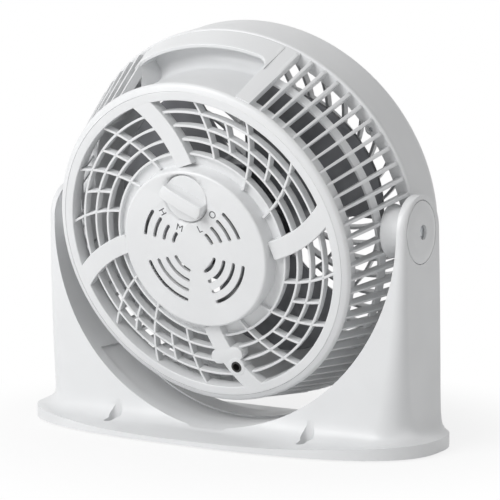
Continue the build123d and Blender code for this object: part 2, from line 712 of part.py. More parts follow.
# ---------------------------------------------------------------- knob and switch
knob_seat_z = knob_well_floor_z + body_gap
knob_disc_z = hub_face_z - 0.5
knob_rest_angle = -29.5
with BuildPart() as speed_knob:
    with BuildSketch(across(knob_seat_z)):
        with Locations((0, knob_at_y)):
            Circle(knob_radius)
    extrude(amount=knob_disc_z - knob_seat_z)
    fillet(speed_knob.edges().group_by(fan_axis)[-1], 0.8)
    with BuildPart(mode=Mode.PRIVATE) as grip:
        turned = Plane((0, knob_at_y, knob_disc_z - 0.6),
                       x_dir=meridian(knob_rest_angle).x_dir, z_dir=(0, 0, 1))
        with BuildSketch(Plane(turned.origin, x_dir=turned.y_dir, z_dir=turned.x_dir)):
            with BuildLine():
                half = knob_bar_width / 2
                top = knob_bar_height
                Polyline((half, 0), (-half, 0))
                ThreePointArc((-half, 0), (-half + 1.0, 0.55 * top), (-half + 0.9, top - 0.6))
                ThreePointArc((-half + 0.9, top - 0.6), (-half + 1.1, top - 0.2), (-half + 1.5, top))
                Line((-half + 1.5, top), (half - 1.5, top))
                ThreePointArc((half - 1.5, top), (half - 1.1, top - 0.2), (half - 0.9, top - 0.6))
                ThreePointArc((half - 0.9, top - 0.6), (half - 1.0, 0.55 * top), (half, 0))
            make_face()
        extrude(amount=knob_radius + 1, both=True)
        with BuildSketch(turned.offset(-1)):
            Circle(knob_radius - 0.2)
        extrude(amount=knob_bar_height + 2, mode=Mode.INTERSECT)
    add(grip.part)
    with BuildSketch(across(knob_seat_z)):
        with Locations((0, knob_at_y)):
            Circle(spindle_radius)
    extrude(amount=-(knob_seat_z - 35.0))
finish_head(speed_knob.part, "speed_knob")

switch_top_z = knob_well_floor_z - hub_wall
with BuildPart() as speed_switch:
    with BuildSketch(across(switch_top_z)):
        with Locations((0, knob_at_y)):
            RectangleRounded(switch_size, switch_size, 2.0)
            Circle(spindle_radius + running_gap, mode=Mode.SUBTRACT)
    extrude(amount=-(switch_depth - 1.5))
    with BuildSketch(across(switch_top_z - switch_depth + 1.5)):
        with Locations((0, knob_at_y)):
            RectangleRounded(switch_size, switch_size, 2.0)
    extrude(amount=-1.5)
    with BuildSketch(across(switch_top_z - switch_depth)):
        with Locations((0, knob_at_y + 3.0)):
            with GridLocations(6.0, 8.0, 4, 2):
                Rectangle(4.0, 0.8)
    extrude(amount=-4.0)
finish_head(speed_switch.part, "speed_switch")

# ---------------------------------------------------------------- motor
def motor_bracket(flange_from, direction, ears):
    """End shield: a flat ring, a cup over the coils and, at the rear, four ears."""
    cup_radius = coil_outer_radius + 4.0
    flange_to = flange_from + direction * bracket_wall
    cup_to = flange_from + direction * bracket_height
    with BuildPart(mode=Mode.PRIVATE) as solid:
        with BuildSketch(across(flange_from)):
            Circle(stack_radius)
            if ears:
                with PolarLocations(0, 2, 45.0, 180.0):
                    SlotCenterToCenter(2 * motor_post_circle, 2 * motor_post_radius + 2)
            Circle(cup_radius - 2.0, mode=Mode.SUBTRACT)
        extrude(amount=direction * bracket_wall)
        with BuildSketch(across(flange_to)):
            Circle(cup_radius)
            Circle(cup_radius - 2.0, mode=Mode.SUBTRACT)
        extrude(amount=direction * (bracket_height - 2 * bracket_wall))
        with BuildSketch(across(cup_to)):
            Circle(cup_radius)
            Circle(bush_radius, mode=Mode.SUBTRACT)
            with PolarLocations(13.0, 6, 30.0):
                Circle(2.2, mode=Mode.SUBTRACT)
        extrude(amount=-direction * bracket_wall)
        if ears:
            with BuildSketch(across(flange_from)):
                with Locations(*[polar(motor_post_circle, a) for a in motor_post_angles]):
                    Circle(motor_screw_radius + seat_gap)
            extrude(amount=direction * bracket_wall, mode=Mode.SUBTRACT)
    return solid.part


bore_radius = rotor_radius + air_gap
with BuildPart() as motor_stator:
    with BuildSketch(across(stack_front_z)):
        Circle(stack_radius)
        Circle(bore_radius, mode=Mode.SUBTRACT)
        with PolarLocations(stack_radius, 4, 0.0):
            Rectangle(3.0, 12.0, mode=Mode.SUBTRACT)
    extrude(amount=stack_rear_z - stack_front_z)
finish_head(motor_stator.part, "motor_stator")

with BuildPart() as motor_windings:
    add(tube(coil_outer_radius, coil_inner_radius, stack_rear_z, stack_rear_z + coil_overhang))
    add(tube(coil_outer_radius, coil_inner_radius, stack_front_z - coil_overhang, stack_front_z))
    end_edges = motor_windings.edges().group_by(fan_axis)
    fillet(end_edges[0] + end_edges[-1], 2.0)
finish_head(motor_windings.part, "motor_windings")

with BuildPart() as motor_rear_bracket:
    add(motor_bracket(stack_rear_z, 1, True))
finish_head(motor_rear_bracket.part, "motor_rear_bracket")

with BuildPart() as motor_front_bracket:
    add(motor_bracket(stack_front_z, -1, False))
finish_head(motor_front_bracket.part, "motor_front_bracket")

rear_bush_z = stack_rear_z + bracket_height
front_bush_z = stack_front_z - bracket_height
with BuildPart() as motor_bushes:
    add(tube(bush_radius, shaft_radius + running_gap, rear_bush_z - bracket_wall, rear_bush_z))
    add(tube(bush_radius, shaft_radius + running_gap, front_bush_z, front_bush_z + bracket_wall))
finish_head(motor_bushes.part, "motor_bushes")

with BuildPart() as motor_screws:
    with BuildSketch(across(stack_rear_z)):
        with Locations(*[polar(motor_post_circle, a) for a in motor_post_angles]):
            Circle(motor_screw_radius - running_gap)
    extrude(amount=10.0)
    with BuildSketch(across(stack_rear_z)):
        with Locations(*[polar(motor_post_circle, a) for a in motor_post_angles]):
            Circle(2 * motor_screw_radius)
    extrude(amount=-2.0)
finish_head(motor_screws.part, "motor_screws")

with BuildPart() as motor_rotor:
    add(tube(rotor_radius, shaft_radius, stack_front_z - 1.0, stack_rear_z + 1.0))
finish_head(motor_rotor.part, "motor_rotor")

shaft_step_z = impeller_front_z + 2.0
shaft_tip_z = impeller_front_z - 4.5
with BuildPart() as motor_shaft:
    add(tube(shaft_radius, 0, shaft_step_z, rear_bush_z + 1.0))
    add(tube(0.8 * shaft_radius, 0, shaft_tip_z, shaft_step_z))
finish_head(motor_shaft.part, "motor_shaft")

# ---------------------------------------------------------------- impeller
blade_steps = 5
blade_centres = (38.0, 158.0, 278.0)


def blade(middle):
    """One wide blade, lofted through upright sections that turn round the fan axis."""
    sections = []
    for i in range(blade_steps):
        share = i / (blade_steps - 1)
        turn = middle + blade_span_angle * (share - 0.5)
        root_z = blade_front_z + (impeller_rear_z - 3.0 - blade_front_z) * share
        tip_z = blade_front_z + 0.5 + (blade_rear_z - 4.5 - blade_front_z) * share
        tip_radius = blade_tip_radius - blade_tip_drop * (2 * share - 1) ** 2
        with BuildSketch(meridian(turn)) as section:
            half = blade_thickness / 2
            Polygon((impeller_hub_radius - 1.0, root_z - half), (tip_radius, tip_z - half),
                    (tip_radius, tip_z + half), (impeller_hub_radius - 1.0, root_z + half), align=None)
        sections.append(section.sketch)
    return loft(sections, mode=Mode.PRIVATE)


with BuildPart() as impeller:
    add(tube(impeller_hub_radius, impeller_hub_radius - 2.2, impeller_front_z, impeller_rear_z))
    add(tube(impeller_hub_radius, 0.8 * shaft_radius, impeller_front_z, shaft_step_z))
    add(tube(6.5, shaft_radius, shaft_step_z, impeller_rear_z))
    with BuildSketch(across(shaft_step_z)):
        with PolarLocations(0, 3):
            with Locations((19.5, 0)):
                Rectangle(27.0, 1.8)
    extrude(amount=10.0)
    for middle in blade_centres:
        add(blade(middle))
    front_circles = impeller.edges().filter_by(GeomType.CIRCLE).group_by(fan_axis)[0]
    fillet(front_circles.sort_by(SortBy.RADIUS)[-1:], 1.5)
finish_head(impeller.part, "impeller")

with BuildPart() as impeller_nut:
    with BuildSketch(across(impeller_front_z - 4.0)):
        RegularPolygon(5.5, 6)
        Circle(0.8 * shaft_radius, mode=Mode.SUBTRACT)
    extrude(amount=4.0)
finish_head(impeller_nut.part, "impeller_nut")

# ---------------------------------------------------------------- front bezel and grille
with BuildPart() as front_bezel:
    with BuildSketch(meridian(seam_angle)):
        with BuildLine():
            Line((bezel_widest_radius, bezel_seam_z), (bezel_waist_radius, bezel_waist_z))
            waist_inside = bezel_waist_radius - bezel_wall
            lip_corner = (bezel_lip_radius + 0.5, bezel_lip_z)
            ThreePointArc((bezel_waist_radius, bezel_waist_z), bezel_bulge,
                          (bezel_lip_radius, bezel_front_z))
            Polyline((bezel_lip_radius, bezel_front_z), (grille_opening_radius, bezel_front_z),
                     (grille_opening_radius, bezel_lip_z), lip_corner)
            ThreePointArc(lip_corner, bezel_hollow, (waist_inside, bezel_waist_z))
            Polyline((waist_inside, bezel_waist_z), (bezel_widest_radius - bezel_wall, bezel_seam_z),
                     (bezel_widest_radius, bezel_seam_z))
        make_face()
    revolve(axis=fan_axis)
    with BuildSketch(across(-34.0)):
        for angle in bezel_screw_angles:
            with Locations(Location((*polar(bezel_screw_circle, angle), 0), (0, 0, 1), angle)):
                Circle(bezel_boss_radius)
                with Locations((2.5, 0)):
                    Rectangle(5.0, 3.0)
    extrude(amount=bezel_joint_z + 34.0)
    with BuildSketch(across(bezel_joint_z)):
        with Locations(*[polar(bezel_screw_circle, a) for a in bezel_screw_angles]):
            Circle(bezel_screw_radius)
    extrude(amount=-12.0, mode=Mode.SUBTRACT)
finish_head(front_bezel.part, "front_bezel")

with BuildPart() as bezel_screws:
    with BuildSketch(across(flange_z - 3.8)):
        with Locations(*[polar(bezel_screw_circle, a) for a in bezel_screw_angles]):
            Circle(bezel_head_radius)
    extrude(amount=1.6)
    with BuildSketch(across(flange_z - 3.8)):
        with Locations(*[polar(bezel_screw_circle, a) for a in bezel_screw_angles]):
            Circle(bezel_screw_radius)
    extrude(amount=-16.0)
finish_head(bezel_screws.part, "bezel_screws")

front_pitch = 360.0 / front_rib_count
front_face_z = front_grille_rear_z - front_rib_depth
with BuildPart() as front_grille:
    with BuildSketch(across(front_face_z)):
        Circle(grille_opening_radius - seat_gap)
        Circle(grille_opening_radius - 2.6, mode=Mode.SUBTRACT)
        for radius in reversed(front_ring_radii):
            Circle(radius + front_rib_thickness / 2)
            Circle(radius - front_rib_thickness / 2, mode=Mode.SUBTRACT)
        Circle(front_disc_radius)
        for k in range(front_rib_count):
            inner = front_disc_radius - 1 if k % 2 == 0 else front_ring_radii[0]
            share = (inner - front_disc_radius) / (grille_opening_radius - front_disc_radius)
            begin = polar(inner, k * front_pitch + front_sweep * share)
            middle_radius = (inner + grille_opening_radius) / 2
            middle_share = (middle_radius - front_disc_radius) / (grille_opening_radius - front_disc_radius)
            halfway = polar(middle_radius, k * front_pitch + front_sweep * middle_share - 2.0)
            end = polar(grille_opening_radius - 1.0, k * front_pitch + front_sweep)
            SlotArc(ThreePointArc(begin, halfway, end, mode=Mode.PRIVATE), front_rib_thickness)
    extrude(amount=front_rib_depth)
    with BuildSketch(across(bezel_lip_z)):
        Circle(bezel_lip_radius - 0.5)
        Circle(grille_opening_radius - 2.6, mode=Mode.SUBTRACT)
    extrude(amount=2.0)
finish_head(front_grille.part, "front_grille")

with BuildPart() as centre_cap:
    with BuildSketch(across(front_face_z)):
        Circle(front_disc_radius - 3.0)
    extrude(amount=-1.6)
    fillet(centre_cap.edges().group_by(fan_axis)[0], 1.2)
finish_head(centre_cap.part, "centre_cap")
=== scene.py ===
import json
import math

import bpy
from mathutils import Matrix, Vector


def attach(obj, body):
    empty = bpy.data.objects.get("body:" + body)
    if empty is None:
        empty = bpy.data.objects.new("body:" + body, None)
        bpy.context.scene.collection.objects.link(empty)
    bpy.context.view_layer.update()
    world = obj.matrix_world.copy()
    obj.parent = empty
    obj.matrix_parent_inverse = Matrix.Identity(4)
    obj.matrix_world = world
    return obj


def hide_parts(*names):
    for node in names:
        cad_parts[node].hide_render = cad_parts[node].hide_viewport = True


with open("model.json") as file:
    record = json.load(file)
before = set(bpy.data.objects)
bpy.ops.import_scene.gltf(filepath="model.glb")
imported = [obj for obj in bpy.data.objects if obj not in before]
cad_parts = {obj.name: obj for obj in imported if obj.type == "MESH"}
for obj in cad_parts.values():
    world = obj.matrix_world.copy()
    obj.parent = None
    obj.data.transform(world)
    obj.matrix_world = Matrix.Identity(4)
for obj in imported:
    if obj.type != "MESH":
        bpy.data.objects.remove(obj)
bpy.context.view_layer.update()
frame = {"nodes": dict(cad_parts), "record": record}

bl_info = {
    "name": "Air circulator",
    "version": (1, 0, 0),
    "blender": (4, 5, 0),
    "location": "3D View > Sidebar > Air circulator",
    "description": "Builds a table-top air circulator on its packed frame, piece by piece",
    "category": "Object",
}

MM = 0.001

# Places on the fan, in millimetres and degrees.
PIVOT_HIGH = 128.5  # tilt axis over the table
PIVOT_DEEP = 6.64  # tilt axis behind the middle of the whole fan
HANDLE_HALF = 23.7  # from the middle of the handle to each of its end walls
SCREW_CIRCLE = 112.5  # radius on which the bezel screws sit
SCREW_ANGLES = (31.0, 149.0, 211.0, 329.0)
RIM_RADIUS = 96.3  # outside of the rear grille
CORD_HOLE = (14.0, -76.5, 0.0)
DIAL_OFFSET = 32.0  # dial's axis above the fan axis
DIAL_TURN = -29.5  # how far the dial's grip is turned at rest
MARK_CIRCLE = 19.8  # radius of the marks about the dial's axis
HUB_FACE = 47.34  # height of the hub cover's face

# Where the head sits: its x runs to the left seen from the front, its y up and its z rearwards
# along the fan axis, and it leans back about the tilt axis.
LEAN = math.radians(16.0)
TILT_AXIS = Vector((0.0, PIVOT_DEEP, PIVOT_HIGH)) * MM
HEAD = Matrix((
    (-1.0, 0.0, 0.0, TILT_AXIS.x),
    (0.0, math.sin(LEAN), math.cos(LEAN), TILT_AXIS.y),
    (0.0, math.cos(LEAN), -math.sin(LEAN), TILT_AXIS.z),
    (0.0, 0.0, 0.0, 1.0),
))

# A wave texture at scale 1 repeats after this many metres.
WAVE_PITCH = 0.314

BODY_OF = {node: body for body, nodes in frame["record"]["behaviour"]["bodies"].items()
           for node in nodes}
SLOT_OF = {part["node"]: part["material_slot"] for part in frame["record"]["subparts"]}


# ------------------------------------------------------------------ settings
class FinishSettings(bpy.types.PropertyGroup):
    """Colours and gloss of the fan's finishes."""
    housing: bpy.props.StringProperty(
        name="Housing", description="Colour of the moulded housing, sRGB hex", default="E3E4E5")
    dial: bpy.props.StringProperty(
        name="Dial", description="Colour of the polished speed dial, sRGB hex", default="E6E7E8")
    impeller: bpy.props.StringProperty(
        name="Impeller", description="Colour of the moulded impeller, sRGB hex", default="808185")
    marks: bpy.props.StringProperty(
        name="Dial marks", description="Colour of the printed marks, sRGB hex", default="4B4C4F")
    gloss: bpy.props.FloatProperty(
        name="Housing roughness", description="Roughness of the satin housing",
        default=0.36, min=0.0, max=1.0, subtype="FACTOR")


class DrumSettings(bpy.types.PropertyGroup):
    """Sizes of the drum and of its rear grille."""
    rib_count: bpy.props.IntProperty(
        name="Side ribs", description="How many side ribs would fit round the drum", default=76, min=12)
    rib_thickness: bpy.props.FloatProperty(
        name="Rib thickness", description="Thickness of a side rib at the flange", default=2.3 * MM,
        unit="LENGTH")
    wire: bpy.props.FloatProperty(
        name="Grille rib", description="Thickness of the thin ribs and rings of the rear grille",
        default=1.5 * MM, unit="LENGTH")
    arm: bpy.props.FloatProperty(
        name="Grille arm", description="Width of the four arms of the rear grille",
        default=11.5 * MM, unit="LENGTH")
    edge: bpy.props.FloatProperty(
        name="Edge rounding", description="Rounding of the moulded edges", default=0.45 * MM,
        unit="LENGTH")
    corner: bpy.props.FloatProperty(
        name="Handle corner", description="Rounding of the corners of the handle opening",
        default=8.0 * MM, unit="LENGTH")


class StandSettings(bpy.types.PropertyGroup):
    """Sizes of the stand."""
    width: bpy.props.FloatProperty(
        name="Base width", description="Width of the base", default=280.0 * MM, unit="LENGTH")
    depth: bpy.props.FloatProperty(
        name="Base depth", description="Depth of the base", default=122.0 * MM, unit="LENGTH")
    cradle: bpy.props.FloatProperty(
        name="Cradle radius", description="Radius of the cradle between the arms", default=122.0 * MM,
        unit="LENGTH")
    rim: bpy.props.FloatProperty(
        name="Rim rounding", description="Rounding of the edges of the cradle", default=2.6 * MM,
        unit="LENGTH")
    recess: bpy.props.FloatProperty(
        name="Recess", description="Depth of the shallow panel in the bottom of the cradle",
        default=1.0 * MM, unit="LENGTH")


class DialSettings(bpy.types.PropertyGroup):
    """Sizes of the speed dial."""
    radius: bpy.props.FloatProperty(
        name="Dial radius", description="Radius of the dial's disc", default=14.5 * MM, unit="LENGTH")
    width: bpy.props.FloatProperty(
        name="Grip width", description="Width of the grip across the dial", default=9.4 * MM,
        unit="LENGTH")
    height: bpy.props.FloatProperty(
        name="Grip height", description="How far the grip stands over the disc", default=7.6 * MM,
        unit="LENGTH")


class StudioSettings(bpy.types.PropertyGroup):
    """Camera, floor and lamps."""
    distance: bpy.props.FloatProperty(
        name="Camera distance", description="From the camera to the middle of the fan",
        default=1.106, unit="LENGTH")
    turn: bpy.props.FloatProperty(
        name="Camera turn", description="How far the camera stands to the side of the rear",
        default=math.radians(31.62), subtype="ANGLE")
    rise: bpy.props.FloatProperty(
        name="Camera rise", description="How far the camera looks down",
        default=math.radians(5.49), subtype="ANGLE")
    focal: bpy.props.FloatProperty(
        name="Focal length", description="In millimetres, on a sensor 36 mm wide", default=129.66)
    ambient: bpy.props.FloatProperty(
        name="Ambient", description="Strength of the even light of the room", default=0.36)
    key: bpy.props.FloatProperty(
        name="Key lamp", description="Power of the large lamp behind the fan, at the left", default=7.0,
        unit="POWER")
    fill: bpy.props.FloatProperty(
        name="Fill lamp", description="Power of the lamp at the right", default=0.8, unit="POWER")


# ------------------------------------------------------------------ small tools
def linear(hex_colour):
    """sRGB hex to the linear colour that a socket takes."""
    channels = [int(hex_colour[i:i + 2], 16) / 255.0 for i in (0, 2, 4)]
    return tuple(c / 12.92 if c <= 0.04045 else ((c + 0.055) / 1.055) ** 2.4 for c in channels) + (1.0,)


def add(tree, kind, inputs=None, **settings):
    """Add a node with its settings, its values and its links."""
    made = tree.nodes.new(kind)
    for key, value in settings.items():
        setattr(made, key, value)
    for key, value in (inputs or {}).items():
        if isinstance(value, bpy.types.NodeSocket):
            tree.links.new(value, made.inputs[key])
        else:
            made.inputs[key].default_value = value
    return made


def deselect():
    """Nothing selected and no mesh in edit mode."""
    if bpy.context.object and bpy.context.object.mode != "OBJECT":
        bpy.ops.object.mode_set(mode="OBJECT")
    bpy.ops.object.select_all(action="DESELECT")


def pick(*objects):
    """Only these objects selected, the first one active."""
    deselect()
    for obj in objects:
        obj.select_set(True)
    bpy.context.view_layer.objects.active = objects[0]


def edit(obj, elements="VERT"):
    """The object in edit mode with all of it selected."""
    pick(obj)
    bpy.ops.object.mode_set(mode="EDIT")
    bpy.ops.mesh.select_mode(type=elements)
    bpy.ops.mesh.select_all(action="SELECT")


def use_modifier(obj, kind, **settings):
    """Add a modifier and apply it."""
    pick(obj)
    modifier = obj.modifiers.new(kind.title(), kind)
    for key, value in settings.items():
        setattr(modifier, key, value)
    bpy.ops.object.modifier_apply(modifier=modifier.name)


def take_away(piece, cutter):
    """Cut a closed shape out of a piece and remove the shape."""
    use_modifier(piece, "BOOLEAN", object=cutter, operation="DIFFERENCE", solver="EXACT")
    bpy.data.objects.remove(cutter)


def smooth(obj, angle=32.0):
    """Smooth shading, except over edges sharper than the angle."""
    pick(obj)
    bpy.ops.object.shade_smooth_by_angle(angle=math.radians(angle))


def seat(obj):
    """Set a piece that is drawn level into the head, with its place in its mesh."""
    obj.matrix_world = HEAD @ obj.matrix_world
    pick(obj)
    bpy.ops.object.transform_apply(location=True, rotation=True, scale=True)


def dress(obj, slot, body, *nodes):
    """Give a finished piece its material, its body and the CAD nodes that it stands for."""
    obj.data.materials.clear()
    obj.data.materials.append(bpy.data.materials[MATERIAL_OF[slot]])
    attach(obj, body)
    if nodes:
        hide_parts(*nodes)


def through(name, rows):
    """A grid drawn through rows of points in millimetres, and closed wherever its edges meet."""
    deselect()
    across, along = len(rows) - 1, len(rows[0]) - 1
    bpy.ops.mesh.primitive_grid_add(x_subdivisions=across, y_subdivisions=along, size=2.0)
    piece = bpy.context.object
    piece.name = name
    for vertex in piece.data.vertices:
        row = round((vertex.co.x + 1.0) / 2.0 * across)
        step = round((vertex.co.y + 1.0) / 2.0 * along)
        vertex.co = Vector(rows[row][step]) * MM
    edit(piece)
    bpy.ops.mesh.remove_doubles(threshold=0.004 * MM)
    bpy.ops.mesh.normals_make_consistent(inside=False)
    bpy.ops.object.mode_set(mode="OBJECT")
    return piece


def middle(points):
    """The mean of some points."""
    count = len(points)
    return tuple(sum(point[i] for point in points) / count for i in range(len(points[0])))


def capped(rows):
    """The rows with each end drawn together to a point."""
    first, last = middle(rows[0]), middle(rows[-1])
    return [[first] * len(rows[0])] + rows + [[last] * len(rows[0])]


def rounded(outline, radius, steps=3):
    """A closed outline with its corners rounded; a corner may carry its own radius as a third value."""
    made = []
    count = len(outline)
    for i, corner in enumerate(outline):
        here = Vector(corner[:2])
        before = Vector(outline[i - 1][:2]) - here
        after = Vector(outline[(i + 1) % count][:2]) - here
        reach = min(corner[2] if len(corner) > 2 else radius, 0.48 * before.length, 0.48 * after.length)
        start, end = here + before.normalized() * reach, here + after.normalized() * reach
        for k in range(steps + 1):
            share = k / steps
            point = start.lerp(here, share).lerp(here.lerp(end, share), share)
            made.append((point.x, point.y))
    return made + made[:1]


def turned(name, outline, start=0.0, arc=360.0, steps=96, place=Matrix.Identity(4)):
    """A closed outline of radius and height, spun about z and then put in its place."""
    rows = [[tuple(place @ polar(r, start + arc * k / steps, z)) for r, z in outline]
            for k in range(steps + 1)]
    if arc < 360.0:
        rows = capped(rows)
    else:
        rows[-1] = rows[0]
    return through(name, rows)


def polar(radius, angle, z=0.0):
    """The point at a radius and an angle about z, at a height."""
    turn = math.radians(angle)
    return Vector((radius * math.cos(turn), radius * math.sin(turn), z))


def circle(radius, start, stop, step):
    """Points on a circle about the origin, over whole angles."""
    return [(radius * math.cos(math.radians(a)), radius * math.sin(math.radians(a)))
            for a in range(start, stop, step)]


def band(near, far, low, high):
    """The four corners of an upright rectangle."""
    return [(near, low), (far, low), (far, high), (near, high)]


def bore(radius, low, high, steps, spot):
    """A round cutter along the fan axis between two heights."""
    outline = band(0.0, radius, low, high)
    return turned("bore", outline + outline[:1], steps=steps, place=Matrix.Translation(spot))


def bar(name, path, width, low, high, edge, limit=999.0):
    """A bar of even width along a path, with rounded edges, that ends on a circle."""
    half = width / 2.0
    section = rounded(band(-half, half, low, high), edge)
    rows = []
    for i, point in enumerate(path):
        ahead = path[min(i + 1, len(path) - 1)] - path[max(i - 1, 0)]
        side = Vector((-ahead.y, ahead.x, 0.0)).normalized()
        row = []
        for u, z in section:
            spot = point + side * u
            row.append((*(spot.xy * min(1.0, limit / spot.length)), z))
        rows.append(row)
    return through(name, capped(rows))


def slab(name, outline, thickness, edge, angle, taper=0.0):
    """A flat rib in the plane through the fan axis at an angle.

    The taper is how much of its thickness at height -10 it loses per millimetre rearwards.
    """
    turns = sum(a[0] * b[1] - a[1] * b[0] for a, b in zip(outline, outline[1:]))
    out = polar(1.0, angle)
    side = Vector((-out.y, out.x, 0.0))
    half = thickness / 2.0
    rows = []
    for inset, t in ((edge, -half), (0.3 * edge, 0.3 * edge - half), (0.0, edge - half),
                     (0.0, half - edge), (0.3 * edge, half - 0.3 * edge), (edge, half)):
        row = []
        for i, point in enumerate(outline):
            here = Vector(point)
            run = Vector(outline[(i + 1) % (len(outline) - 1)]) - Vector(outline[i - 1 if i else -2])
            moved = here + Vector((-run.y, run.x)).normalized() * math.copysign(inset, turns)
            thin = 1.0 - taper * (moved.y + 10.0)
            row.append(out * moved.x + side * t * thin + Vector((0.0, 0.0, moved.y)))
        rows.append([tuple(point) for point in row])
    return through(name, capped(rows))


def copy_turned(piece, angle):
    """A copy with its own mesh, turned about the fan axis."""
    twin = bpy.data.objects.new(piece.name + "_copy", piece.data.copy())
    bpy.context.collection.objects.link(twin)
    twin.data.transform(Matrix.Rotation(math.radians(angle), 4, "Z"))
    return twin


def join(name, *pieces):
    """One object of several, named anew."""
    pick(*pieces)
    if len(pieces) > 1:
        bpy.ops.object.join()
    pieces[0].name = name
    return pieces[0]


def finish_head(piece, slot, body, *nodes, angle=32.0):
    """Shade a piece of the head, seat it in the head and dress it."""
    smooth(piece, angle)
    use_modifier(piece, "WEIGHTED_NORMAL", keep_sharp=True, weight=80)
    seat(piece)
    dress(piece, slot, body, *nodes)


def from_frame(node):
    """Stand for a CAD node with a merged and smoothly shaded copy of it."""
    source = frame["nodes"][node]
    piece = bpy.data.objects.new(node + "_moulded", source.data.copy())
    bpy.context.collection.objects.link(piece)
    piece.matrix_world = source.matrix_world
    edit(piece)
    bpy.ops.mesh.remove_doubles(threshold=0.002 * MM)
    bpy.ops.object.mode_set(mode="OBJECT")
    smooth(piece)
    use_modifier(piece, "WEIGHTED_NORMAL", keep_sharp=True, weight=80)
    dress(piece, SLOT_OF[node], BODY_OF[node], node)


# ------------------------------------------------------------------ finishes
MATERIAL_OF = {
    "housing_abs": "abs_moulded_satin",
    "dial_abs": "abs_moulded_polished",
    "impeller_pp": "polypropylene_moulded_charcoal",
    "foot_rubber": "rubber_moulded_matt",
    "zinc_steel": "steel_zinc_plated",
    "shaft_steel": "steel_ground",
    "lamination_steel": "electrical_steel_stacked",
    "coil_copper": "copper_wire_enamelled",
    "bracket_aluminium": "aluminium_die_cast",
    "bush_bronze": "bronze_sintered",
    "switch_phenolic": "phenolic_moulded_black",
}


def surface(name, roughness, metallic=0.0, ior=1.5):
    """A material with one Principled shader, and the place on the object in metres."""
    material = bpy.data.materials.new(name)
    material.use_nodes = True
    tree = material.node_tree
    shader = tree.nodes["Principled BSDF"]
    shader.inputs["Roughness"].default_value = roughness
    shader.inputs["Metallic"].default_value = metallic
    shader.inputs["IOR"].default_value = ior
    place = add(tree, "ShaderNodeTexCoord").outputs["Object"]
    return tree, shader, place


def along_head(tree, place):
    """The same place turned so that its y runs along the fan axis."""
    turned_place = add(tree, "ShaderNodeMapping", {"Vector": place, "Rotation": (LEAN, 0.0, 0.0)})
    return turned_place.outputs["Vector"]


def grain(tree, shader, place, size, height, detail=3.0):
    """Fine bumps of a size and a height in metres."""
    noise = add(tree, "ShaderNodeTexNoise", {"Vector": place, "Scale": 1.0 / size, "Detail": detail})
    bump = add(tree, "ShaderNodeBump", {"Height": noise.outputs["Fac"], "Distance": height})
    tree.links.new(bump.outputs["Normal"], shader.inputs["Normal"])


def drift(tree, place, size, low, high):
    """A value that wanders slowly between two limits over the surface."""
    noise = add(tree, "ShaderNodeTexNoise", {"Vector": place, "Scale": 1.0 / size, "Detail": 2.0})
    return add(tree, "ShaderNodeMapRange",
               {"Value": noise.outputs["Fac"], "From Min": 0.3, "From Max": 0.7,
                "To Min": low, "To Max": high}).outputs["Result"]


def two_tone(tree, shader, factor, first, second):
    """Base colour between two colours."""
    # a Mix node's colour sockets share their names with its number sockets, so they go by number
    mix = add(tree, "ShaderNodeMix", {0: factor, 6: linear(first), 7: linear(second)}, data_type="RGBA")
    tree.links.new(mix.outputs[2], shader.inputs["Base Color"])


def ridges(tree, shader, place, pitch, height, dark, light, inputs=None, **settings):
    """Fine ridges about the fan axis, of a pitch and a height in metres, in two colours."""
    values = {"Vector": along_head(tree, place), "Scale": WAVE_PITCH / pitch}
    wave = add(tree, "ShaderNodeTexWave", {**values, **(inputs or {})}, **settings)
    bump = add(tree, "ShaderNodeBump", {"Height": wave.outputs["Fac"], "Distance": height})
    tree.links.new(bump.outputs["Normal"], shader.inputs["Normal"])
    two_tone(tree, shader, wave.outputs["Fac"], dark, light)


def shade(hex_colour, amount):
    """The colour made darker or lighter by an amount of its own value."""
    channels = [min(255, max(0, round(int(hex_colour[i:i + 2], 16) * amount))) for i in (0, 2, 4)]
    return "%02X%02X%02X" % tuple(channels)


